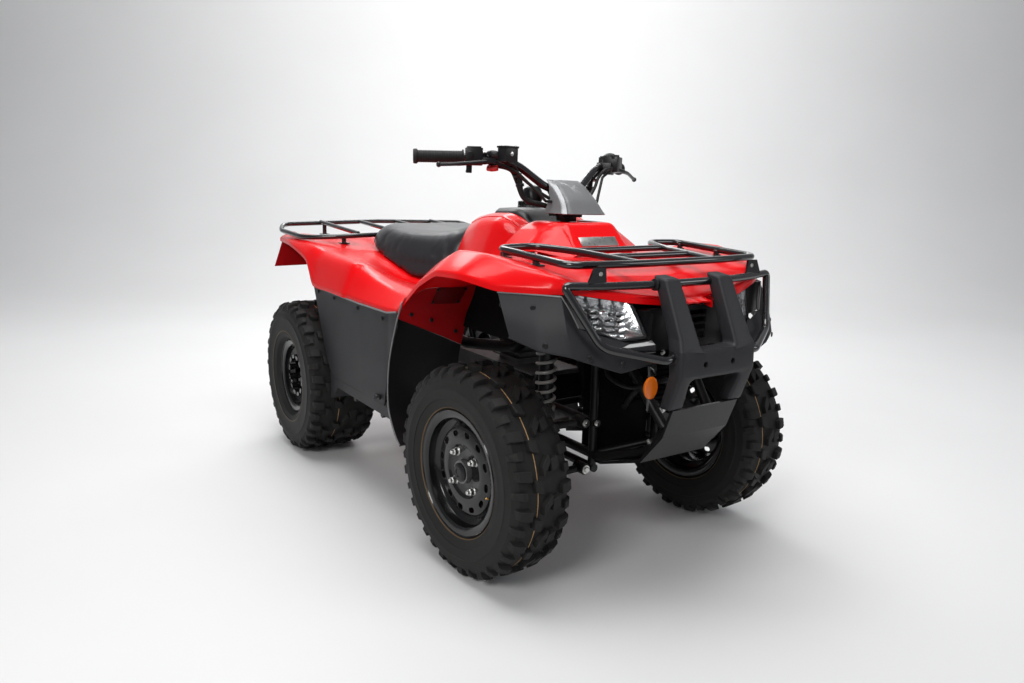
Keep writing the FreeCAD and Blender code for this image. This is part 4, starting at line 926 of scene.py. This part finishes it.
def build_rim(name, flange, half, disc, body, replaces, matrix, side):
    """Rolled flange, stepped barrel and a slotted disc; the outer face is towards -X for side -1."""
    seat = flange - 16
    well = seat - 22
    outer = [(half - 2.5, flange - 2), (half, flange), (half - 2, flange + 1.5), (half - 5.5, flange),
             (half - 6.5, flange - 8), (half - 9, seat - 1), (half - 29, seat - 3), (half - 33, seat - 6),
             (half - 41, well + 1), (half - 45, well)]
    inner = [(half - 45, well - 4), (half - 40, well - 3), (half - 31, seat - 9), (half - 27, seat - 6),
             (half - 8, seat - 4.5), (half - 4.5, seat), (half - 3, flange - 6)]
    loop = [(-x, r) for x, r in outer] + [(x, r) for x, r in reversed(outer)]
    loop += [(x, r) for x, r in reversed(inner)] + [(-x, r) for x, r in inner]
    count = len(loop)
    around = 96
    verts = [wheel_point(x, r, a) * MM for a in angles(around) for x, r in loop]
    faces = [(k * count + i, (k + 1) % around * count + i, (k + 1) % around * count + (i + 1) % count,
              k * count + (i + 1) % count) for k in range(around) for i in range(count)]
    barrel = piece(name, verts, faces, RIM, body, replaces, "rim_paint", matrix)
    outwards(barrel.data)
    settle(barrel, 40)
    profile = [(30, 0), (34, -1), (44, -1), (47, 0), (62, 0), (66, 2), (70, 6), (well - 34, 7),
               (well - 30, 5.5), (well - 16, 5.5), (well - 10, 3), (well - 4.5, -8), (well - 3.5, -18)]
    around = 144
    verts = [wheel_point((-disc - x) * -side, r, a) * MM for r, x in profile for a in angles(around)]
    plate = piece(name + "_disc", verts, wrap(len(profile), around), RIM, body, (), "rim_paint", matrix)
    cut_verts = []
    cut_faces = []
    for k in range(SLOT_COUNT):
        a = 2 * math.pi * (k + 0.5) / SLOT_COUNT
        out = wheel_point(0, 1, a)
        along = Vector((0, -math.sin(a), math.cos(a)))
        ring = [out * (well - 23) + out * 7 * math.sin(b)
                + along * (math.copysign(4.5, math.cos(b)) + 7 * math.cos(b)) for b in angles(16)]
        cut_faces += prism(len(ring), len(cut_verts))
        cut_verts += [(p + Vector((x, 0, 0))) * MM for x in (-90, 90) for p in ring]
    tool = make_tool("slots", cut_verts, cut_faces)
    tool.matrix_world = plate.matrix_world
    mod = plate.modifiers.new("skin", "SOLIDIFY")
    mod.thickness = 0.0045
    mod.offset = 0
    cut(plate, [tool])
    settle(plate)
    drop([tool])
    hub = Kit()
    nuts = Kit()
    out = Vector((side, 0, 0))
    face = side * disc
    hub.turn((face - side * 4, 0, 0), out,
             [(0, 29), (10, 29), (13, 27), (14, 24), (24, 23.5), (27, 20), (28, 12), (26, 10)], 36)
    for k in range(4):
        spot = wheel_point(face, STUD_CIRCLE, math.radians(45 + 90 * k + 12))
        nuts.turn(spot, out, [(0, 12), (3, 11.5), (5, 9.5)], 20)
        nuts.turn(spot + out * 4, out, [(0, 9.6), (10, 9.6), (12.5, 7.5)], 6)
        nuts.turn(spot + out * 14, out, [(0, 6), (7, 5.6), (8, 4.6)], 14)
        hub.turn(wheel_point(face - side * 1.5, STUD_CIRCLE, math.radians(90 * k + 12)), out,
                 [(0, 7), (2.4, 7), (2.6, 4), (1.0, 4)], 16)
    hub.done(name + "_hub_cap", BLACK, body, slot="rim_paint", matrix=matrix)
    nuts.done(name + "_nuts", ZINC, body, slot="zinc_steel", matrix=matrix)
    a = math.radians(200)
    spot = wheel_point(side * (half - 34), seat - 8, a)
    aim = (out - wheel_point(0, 0.5, a)).normalized()
    valve = Kit()
    valve.turn(spot, aim, [(0, 5), (6, 4.4), (18, 3.6), (22, 3.4)], 12)
    valve.done(name + "_valve", RUBBER, body, slot="grip_rubber", matrix=matrix)
    tip = Kit()
    tip.turn(spot + aim * 22, aim, [(0, 2.6), (7, 2.6), (8, 2)], 10)
    tip.done(name + "_valve_tip", BRASS, body, slot="zinc_steel", matrix=matrix)


def build_wheels():
    """The four wheels; each call gives half widths, the flange's radius and the place of the disc."""
    for side in (-1, 1):
        name = SIDE_NAME[side]
        spin = Matrix.Rotation(math.radians(7 * side), 4, "X")
        x, y, z = FRONT_WHEEL
        front = KNUCKLE[side] @ Matrix.Translation((side * x, y, z)) @ spin
        build_tyre(f"tread_front_{name}", 86, 158, 76, f"front_wheel_{name}", [f"front_tyre_{name}"], front)
        build_rim(f"rim_front_{name}", 158, 76, 44, f"front_wheel_{name}", [f"front_rim_{name}"], front, side)
        spin = Matrix.Rotation(math.radians(4 + 5 * side), 4, "X")
        x, y, z = REAR_WHEEL
        rear = Matrix.Translation((side * x, y, z)) @ spin
        build_tyre(f"tread_rear_{name}", 122, 129, 101, "rear_axle", ["rear_tyres"], rear)
        build_rim(f"rim_rear_{name}", 129, 101, 40, "rear_axle", ["rear_rims"], rear, side)


# Seat

def build_seat():
    """The seat's crowned cushion, remeshed and puffed up as cloth."""
    rows = ((3.8, -4.4, 866, 78, 826, 122, 702, 170), (60, 40, 832, 104, 800, 152, 676, 214),
            (150, 110, 812, 138, 784, 178, 666, 236), (300, 300, 806, 160, 784, 204, 700, 246),
            (445, 445, 812, 166, 788, 204, 727, 238), (540, 540, 810, 152, 786, 186, 748, 206))
    stations = []
    for foot_y, top_y, top_z, top_x, side_z, side_x, foot_z, foot_x in rows:
        lean = (foot_y - top_y) / (top_z - foot_z)
        base = max(722, foot_z + 3)
        line = [(0, top_z), (top_x, top_z), (side_x, side_z), (foot_x, foot_z), (foot_x - 22, foot_z),
                (foot_x - 40, base), (0, base)]
        stations.append([Vector((-x, top_y + (top_z - z) * lean, z)) * MM for x, z in line])
    rings = []
    for row in spline(stations, 8, 0.75):
        line = rounded(row, [45, 26, 8, 8, 10], 6, 5, Vector((0, 0, 0.002)))
        rings.append(line + [Vector((-p.x, p.y, p.z)) for p in line[-2:0:-1]])
    count = len(rings[0])
    verts = [p for ring in rings for p in ring]
    faces = wrap(len(rings), count) + caps(len(rings), count)
    obj = piece("seat_cushion", verts, faces, VINYL, "chassis", ["seat"], "seat_vinyl")
    outwards(obj.data)
    mod = obj.modifiers.new("remesh", "REMESH")
    mod.mode = "VOXEL"
    mod.voxel_size = SEAT_VOXEL
    settle(obj, 80)
    obj.modifiers.new("smooth", "SMOOTH").iterations = 5
    settle(obj, 80)
    swell(obj, SEAT_PUFF)


def swell(obj, cap):
    """Puffs a cushion up as cloth under pressure; no point moves farther than cap, the foot least."""
    start = [v.co.copy() for v in obj.data.vertices]
    mod = obj.modifiers.new("cloth", "CLOTH")
    cloth = mod.settings
    cloth.use_pressure = True
    cloth.uniform_pressure_force = 4
    cloth.effector_weights.gravity = 0
    cloth.quality = 5
    scene = bpy.context.scene
    for number in range(1, 21):
        scene.frame_set(number)
    graph = bpy.context.evaluated_depsgraph_get()
    moved = [v.co.copy() for v in obj.evaluated_get(graph).data.vertices]
    obj.modifiers.clear()
    scene.frame_set(1)
    for vertex, old, new in zip(obj.data.vertices, start, moved):
        step = new - old
        if step.length > cap:
            step = step.normalized() * cap
        if old.z < SEAT_FOOT or (old.y < SEAT_NOSE and abs(step.x) < 0.001):
            step = step * SEAT_HELD
        vertex.co = old + step
    obj.modifiers.new("smooth", "SMOOTH").iterations = 7
    mod = obj.modifiers.new("subdivide", "SUBSURF")
    mod.levels = 1
    mod.render_levels = 1
    settle(obj, 80)


# Handlebar

def build_bars():
    """Grips, controls, looms, ties and clamps, placed from the left end of the bar."""
    end = Vector((385, -162, 1032))
    along = (Vector((228, -258, 1036)) - end).normalized()
    ahead = Vector((-along.y, along.x, 0)).normalized()
    turn = Matrix((along, -ahead, Vector((0, 0, 1)))).transposed()

    def at(distance, forward=0, high=0):
        """A point by its distance in along the grip, and how far it is ahead and above."""
        return end + along * distance + ahead * forward + Vector((0, 0, high))

    grip = Kit()
    profile = [(-5, 10), (-5, 18.5), (-1, 20), (5, 20), (7, 17)]
    for k in range(25):
        s = 8 + k * 4.7
        profile += [(s, 16.6), (s + 2.2, 16.6), (s + 2.6, 15.6), (s + 4.2, 15.6)]
    profile += [(126, 17), (127, 20), (131, 20), (132, 12)]
    grip.turn(end, along, profile, 32)
    grip.mirrored().done("grip_sleeves", RUBBER, "steering", ["grips"], "grip_rubber", STEER)
    for side in (-1, 1):
        build_hand(side, at, turn)
    loom = Kit()
    loom.hose([(206, -270, 1018), (172, -290, 1012), (148, -298, 1000), (134, -300, 986), (128, -304, 944),
               (112, -314, 924), (84, -334, 916), (52, -350, 908)], 7.5, 12)
    loom.hose([(212, -262, 1020), (160, -286, 1008), (138, -290, 980), (122, -296, 940), (104, -308, 922),
               (70, -330, 912), (40, -350, 905)], 5.2)
    loom.hose([(204, -316, 1026), (170, -318, 1018), (148, -316, 994), (126, -330, 972), (96, -346, 948),
               (66, -360, 930)], 4.6)
    loom.mirrored().done("bar_looms", RUBBER, "steering", slot="grip_rubber", matrix=STEER)
    ties = Kit()
    for side in (-1, 1):
        ties.turn((side * 131, -300, 966), (side * 0.15, 0, 1), [(-4, 11), (-3, 12), (3, 12), (4, 11)], 16)
        ties.turn((side * 140, -298, 992), (side * 0.4, 0, 1), [(-3, 13), (3, 13)], 16)
    ties.done("bar_ties", BLACK, "steering", slot="dark_plastic", matrix=STEER)
    clamps = Kit()
    for x in (-34, 34):
        clamps.turn((x - 12, -332, 958), (1, 0, 0), [(0, 14), (1, 17), (23, 17), (24, 14)], 24)
    clamps.done("bar_clamps", CAST, "steering", slot="frame_paint", matrix=STEER)


def build_hand(side, at, turn):
    """The switch box, lever and small controls beside one grip."""
    dark = Kit()
    dark.box(at(158, 2, 1), (46, 46, 46), turn)
    dark.box(at(158, 2, 22), (38, 40, 12), turn)
    dark.cyl(at(148, 24, 6), at(148, 29, 6), 9)
    dark.box(at(186, 1, 0), (18, 34, 32), turn)
    dark.box(at(156, -22, 8), (16, 6, 12), turn)
    dark.box(at(198, 32, -9), (34, 30, 14), turn)
    dark.cyl(at(197, 33, -2), at(197, 33, 4), 7)
    if side < 0:
        dark.box(Vector((206, -339, 1043)), (40, 36, 36))
        dark.box(Vector((206, -339, 1063)), (44, 40, 5))
        dark.hose([at(196, 16, 6), at(206, 40, 8), (214, -318, 1040)], 10, 14)
        dark.box(at(146, -18, -37), (14, 56, 6), turn)
        dark.cyl(at(146, 6, -14), at(146, 6, -42), 8)
    else:
        dark.turn(at(168, 10, 10), (0.2, 0.2, 1), [(0, 24), (16, 23), (24, 16), (26, 6)], 24)
        dark.box(at(190, 26, 2), (60, 44, 46), turn)
        dark.box(at(214, 10, -12), (40, 44, 34), turn)
        dark.cyl(at(206, 34, 18), at(206, 34, 30), 15)
    lever = Kit()
    tip = at(64, 48, -22) if side < 0 else at(24, 58, -34)
    bend = at(110, 57, -20)
    lever.hose([at(208, 32, -11), at(180, 46, -14), at(150, 54, -17), bend, tip.lerp(bend, 0.35), tip],
               [7, 6.5, 5.8, 5.2, 5.2, 6.5], 12)
    lever.turn(tip, at(0) - at(1), [(-6, 4), (-3, 6.8), (0, 7.6), (4, 7.0), (7, 3)], 14)
    bright = Kit()
    bright.bolt(at(197, 33, 4), (0, 0, 1), 4.5, 3.5)
    bright.cyl(at(178, 22, 12), at(200, 22, 12), 3)
    red = Kit()
    red.box(at(150, -24, 12), (11, 8, 8), turn)
    if side < 0:
        for a, b in ((1, 1), (-1, -1)):
            bright.screw((206 + 15 * a, -339 + 13 * b, 1065.5), (0, 0, 1), 3)
        bright.turn((206, -357, 1045), (0, -1, 0), [(0, 6), (1.5, 5.5), (2, 3)], 16)
        red.hose([at(196, 10, -28), at(208, 16, -30), at(222, 22, -28)], 8, 12)
    name = SIDE_NAME[side]
    for kit, part, mat, slot, over in ((dark, "switch_box", BLACK, "dark_plastic", [f"{name}_control"]),
                                       (lever, "lever", BLACK, "dark_plastic", []),
                                       (bright, "control_bolts", ZINC, "zinc_steel", []),
                                       (red, "knob", CONTROL_RED, "red_plastic", [])):
        if side < 0:
            kit.verts = [Vector((-v.x, v.y, v.z)) for v in kit.verts]
            kit.faces = [face[::-1] for face in kit.faces]
        soften = 2.2 if part == "switch_box" else 0
        kit.done(f"{name}_{part}", mat, "steering", over, slot, STEER, soften)


# Running gear and small parts

def build_gear():
    """Springs, dampers, hoses, radiator and blocks of painted shade, bolts, horn and reflectors."""
    springs = Kit()
    dampers = Kit()
    for side in (-1, 1):
        x = side * 190
        springs.coil((x, -537, 326), (x, -537, 548), 24, 4.6, 8.5)
        for low, high, radius, sides in (
                (420, 560, 19, 24), (312, 324, 26, 24), (550, 562, 26, 24), (262, 420, 9, 20)):
            dampers.cyl((x, -537, low), (x, -537, high), radius, sides)
        for z in (590, 257.6):
            dampers.cyl((x, -551, z), (x, -523, z), 13.5, 20)
    springs.done("front_springs", SPRING, "chassis", ["front_shocks"], "zinc_steel")
    dampers.done("front_dampers", BLACK, "chassis", slot="frame_paint")
    rear = Kit()
    low = Vector((0, 380, 326.3))
    top = Vector((0, 300, 643.7))
    axis = (top - low).normalized()
    rear.coil(low + axis * 60, low + axis * 265, 26, 5.5, 8)
    rear.done("rear_spring", SPRING, "chassis", ["rear_shock"], "zinc_steel")
    damper = Kit()
    damper.cyl(low, top, 12, 20)
    damper.cyl(low + axis * 150, low + axis * 280, 20, 24)
    damper.done("rear_damper", BLACK, "chassis", slot="frame_paint")
    hoses = Kit()
    for side in (-1, 1):
        for radius, points in (
                (4.5, ((270, -520, 330), (230, -500, 400), (170, -470, 470), (120, -450, 560))),
                (7, ((95, -780, 600), (60, -800, 540), (90, -760, 470), (60, -700, 420))),
                (5, ((130, -700, 560), (150, -740, 520), (120, -790, 500), (60, -800, 520)))):
            hoses.hose([(side * x, y, z) for x, y, z in points], radius)
    hoses.hose([(-60, -740, 480), (0, -770, 500), (60, -740, 470)], 9, 12)
    hoses.done("nose_hoses", RUBBER, "chassis", slot="grip_rubber")
    # The cooler is drawn in the same near-black painted shade as the fillers below it
    cooler_and_shade_blocks = Kit()
    cooler_and_shade_blocks.box((0, -700, 520), (150, 40, 150))
    cooler_and_shade_blocks.box((0, -724, 520), (166, 8, 166))
    for k in range(12):
        cooler_and_shade_blocks.box((0, -730, 446 + k * 13), (140, 4, 2))
    # These two blocks and the plate behind the grille are painted shade: near-black fillers for the dark gaps
    # under the nose
    cooler_and_shade_blocks.box((0, -600, 410), (176, 60, 260))
    cooler_and_shade_blocks.box((0, -300, 380), (190, 120, 90))
    cooler_and_shade_blocks.box((0, -792, 656), (262, 4, 100))
    cooler_and_shade_blocks.done("cooler_and_shade_blocks", SHADE_BLACK, "chassis", slot="black_plastic", soften=1.5)
    bolts = Kit()
    ahead = (0, -1, 0)
    for side in (-1, 1):
        for x, y, z, axis, radius, height in (
                (134, -649, 250, ahead, 8, 7), (134, -465, 250, ahead, 8, 7), (134, -641, 372, ahead, 8, 7),
                (134, -473, 372, ahead, 8, 7), (190, -559, 590, ahead, 8, 7), (190, -554, 257.6, ahead, 8, 7),
                (300, -537, 359, (0, 0, 1), 8, 7), (108, -655, 372, ahead, 7, 5),
                (92, -832, 372, (0, -1, 0.6), 6, 5),
                (250, -807, 782, ahead, 6, 5), (60, -730, 600, ahead, 6, 5), (36, -728, 560, ahead, 5, 5),
                (120, -776, 652, ahead, 5, 4)):
            bolts.bolt((side * x, y, z), axis, radius, height)
    bolts.bolt((0, -730, 596), ahead, 7, 5)
    bolts.done("chassis_bolts", ZINC, "chassis", slot="zinc_steel")
    horn = Kit()
    horn.turn((12, -800, 640), (0.1, -1, 0.1), [(0, 26), (12, 26), (16, 20), (12, 12), (4, 6)], 28)
    horn.hose([(-40, -806, 660), (-20, -816, 650), (10, -812, 664), (44, -806, 650)], 4)
    horn.done("horn", ZINC, "chassis", slot="zinc_steel")
    plug = Kit()
    plug.box((0, -690, 600), (60, 30, 40))
    plug.done("plug_box", BLACK, "chassis", slot="black_plastic", soften=2)
    lens = Kit()
    for side in (-1, 1):
        lens.turn((side * 150, -880, 526), ahead, [(0, 18), (4, 20), (7, 20), (9, 18), (10, 10)], 32)
    obj = lens.done("reflector_lenses", AMBER, "chassis", ["front_reflectors"], "amber_lens")
    for vertex in obj.data.vertices:
        vertex.co.z = 0.526 + (vertex.co.z - 0.526) * 1.32
    stems = Kit()
    for side in (-1, 1):
        stems.hose([(side * 150, -876, 574), (side * 150, -878, 540), (side * 150, -878, 470)], 2.6, 8)
        stems.hose([(side * 150, -876, 572), (side * 128, -866, 560), (side * 104, -850, 545)], 3.4, 8)
    stems.done("reflector_stems", TUBE, "chassis", slot="tube_paint")


def build_trim():
    """Screws, latches, ribs, the blank plate and the racks' feet."""
    screws = Kit()
    for spot, axis in (
            ((-412, -666, 704), (-0.9, -0.5, 0)), ((-374, -733, 704), (-0.8, -0.6, 0)),
            ((-372, -780, 626), (-0.8, -0.6, 0)), ((-300, -846, 604), (-0.5, -0.85, 0)),
            ((-218, -862, 585), (-0.3, -0.95, 0))):
        screws.screw(Vector(spot) + Vector(axis).normalized() * 5, axis, 6.5)
    for y, z in ((-110, 588), (70, 592), (260, 596), (400, 600)):
        screws.screw((-460, y, z), (-1, 0, 0), 6)
    for x, y, z in ((-418, -211, 612), (-350, -200, 590), (-262, -183, 548)):
        screws.screw((x, y - 3, z), (0, -1, 0.3), 6)
    for x, y, z in ((-357, -254, 682), (-270, -254, 679), (-288, -245, 644), (-368, -245, 648)):
        screws.screw((x, y, z), (0, -1, 0.3), 4)
    screws.mirrored().done("cover_screws", BLACK, "chassis", slot="black_plastic")
    latch = Kit()
    latch.box((-462, -84, 352), (6, 26, 12))
    latch.hose([(-463, -96, 356), (-470, -84, 352), (-466, -70, 344), (-463, -60, 350)], 2.4, 8)
    latch.mirrored().done("panel_latches", BLACK, "chassis", slot="dark_plastic", soften=1)
    ribs = Kit()
    for k in range(11):
        ribs.box((-360, -96 + k * 34, 331.2), (150, 9, 3.4))
    ribs.mirrored().done("board_ribs", DARK, "chassis", slot="dark_plastic", soften=1.2)
    plate = Kit()
    plate.box((0, -499.5, 824.5), (128, 30, 3), Matrix.Rotation(math.atan2(58, 50), 3, "X"))
    plate.done("blank_plate", ZINC, "chassis", slot="silver_plastic", soften=1.4)
    feet = Kit()
    for x, y, z in ((-306, -500, 793), (-306, -640, 787), (-292, 584, 743), (-246, 900, 753)):
        feet.box((x, y, z), (30, 34, 5))
        feet.bolt((x, y - 11, z + 2.5), (0, 0, 1), 4.5, 3.5)
    feet.mirrored().done("rack_feet", TUBE, "chassis", slot="tube_paint", soften=1.2)


def build_studio():
    """A pale sweep of floor and wall behind the machine, and five soft lamps."""
    profile = [(-8, 0), (-2, 0), (3.2, 0)]
    for k in range(1, 13):
        a = math.radians(7.5 * k)
        profile.append((3.2 + 2.6 * math.sin(a), 2.6 - 2.6 * math.cos(a)))
    profile.append((5.8, 9))
    behind = Vector((0.556, 0.831, 0))
    across = Vector((0.831, -0.556, 0))
    verts = [across * a + behind * b + Vector((0, 0, z)) for b, z in profile for a in (-14, 14)]
    faces = [(2 * k, 2 * k + 1, 2 * k + 3, 2 * k + 2) for k in range(len(profile) - 1)]
    mesh = bpy.data.meshes.new("floor")
    mesh.from_pydata([tuple(v) for v in verts], [], faces)
    mesh.shade_smooth()
    ground = bpy.data.objects.new("floor", mesh)
    bpy.context.scene.collection.objects.link(ground)
    mesh.materials.append(shade("floor", (0.70, 0.70, 0.70), 0.6, vary=0.04, vary_scale=1.2, rough_vary=0.06))
    world = bpy.data.worlds.new("studio")
    bpy.context.scene.world = world
    world.use_nodes = True
    world.node_tree.nodes["Background"].inputs["Color"].default_value = (0.93, 0.95, 1.0, 1)
    world.node_tree.nodes["Background"].inputs["Strength"].default_value = 0.27
    for name, spot, size, power, color in (
            ("top", (-0.4, -0.4, 3.4), (2.6, 1.6), 88, (1, 1, 1)),
            ("key", (-3.0, -2.2, 2.6), (1.4, 1.0), 62, (1, 0.99, 0.97)),
            ("fill", (2.8, -3.6, 2.2), (2.0, 1.2), 26, (0.97, 0.98, 1)),
            ("back", (0.9, 2.6, 3.0), (2.4, 1.0), 40, (1, 1, 1)),
            ("wall", (1.3, 1.9, 4.6), (5.0, 1.0), 215, (1, 1, 1))):
        data = bpy.data.lights.new(name, "AREA")
        data.shape = "RECTANGLE"
        data.size, data.size_y = size
        data.energy = power
        data.color = color
        lamp = bpy.data.objects.new(name, data)
        bpy.context.scene.collection.objects.link(lamp)
        lamp.location = spot
        aim = (Vector((3.2, 4.8, 1.4)) if name == "wall" else Vector((0, -0.1, 0.4))) - Vector(spot)
        lamp.rotation_euler = aim.to_track_quat("-Z", "Y").to_euler()
    bpy.context.scene.view_settings.view_transform = "Standard"


def build_camera():
    """The camera at the photo's place and angle."""
    azimuth, down, roll = math.radians(-33.79), math.radians(11.54), math.radians(1.33)
    ahead = Vector((-math.sin(azimuth) * math.cos(down), math.cos(azimuth) * math.cos(down), -math.sin(down)))
    right = Vector((math.cos(azimuth), math.sin(azimuth), 0))
    up = right.cross(ahead)
    rolled_right = right * math.cos(roll) + up * math.sin(roll)
    rolled_up = up * math.cos(roll) - right * math.sin(roll)
    data = bpy.data.cameras.new("camera")
    data.sensor_width = 36
    data.lens = 793.3 / 1024 * 36
    camera = bpy.data.objects.new("camera", data)
    bpy.context.scene.collection.objects.link(camera)
    turn = Matrix((rolled_right, rolled_up, -ahead)).transposed().to_4x4()
    camera.matrix_world = Matrix.Translation((-1.385, -2.160, 0.983)) @ turn
    bpy.context.scene.camera = camera


build_mouldings()
build_pod()
build_guard()
build_tubes()
build_lamps()
build_wheels()
build_seat()
build_bars()
build_gear()
build_trim()
build_studio()
build_camera()
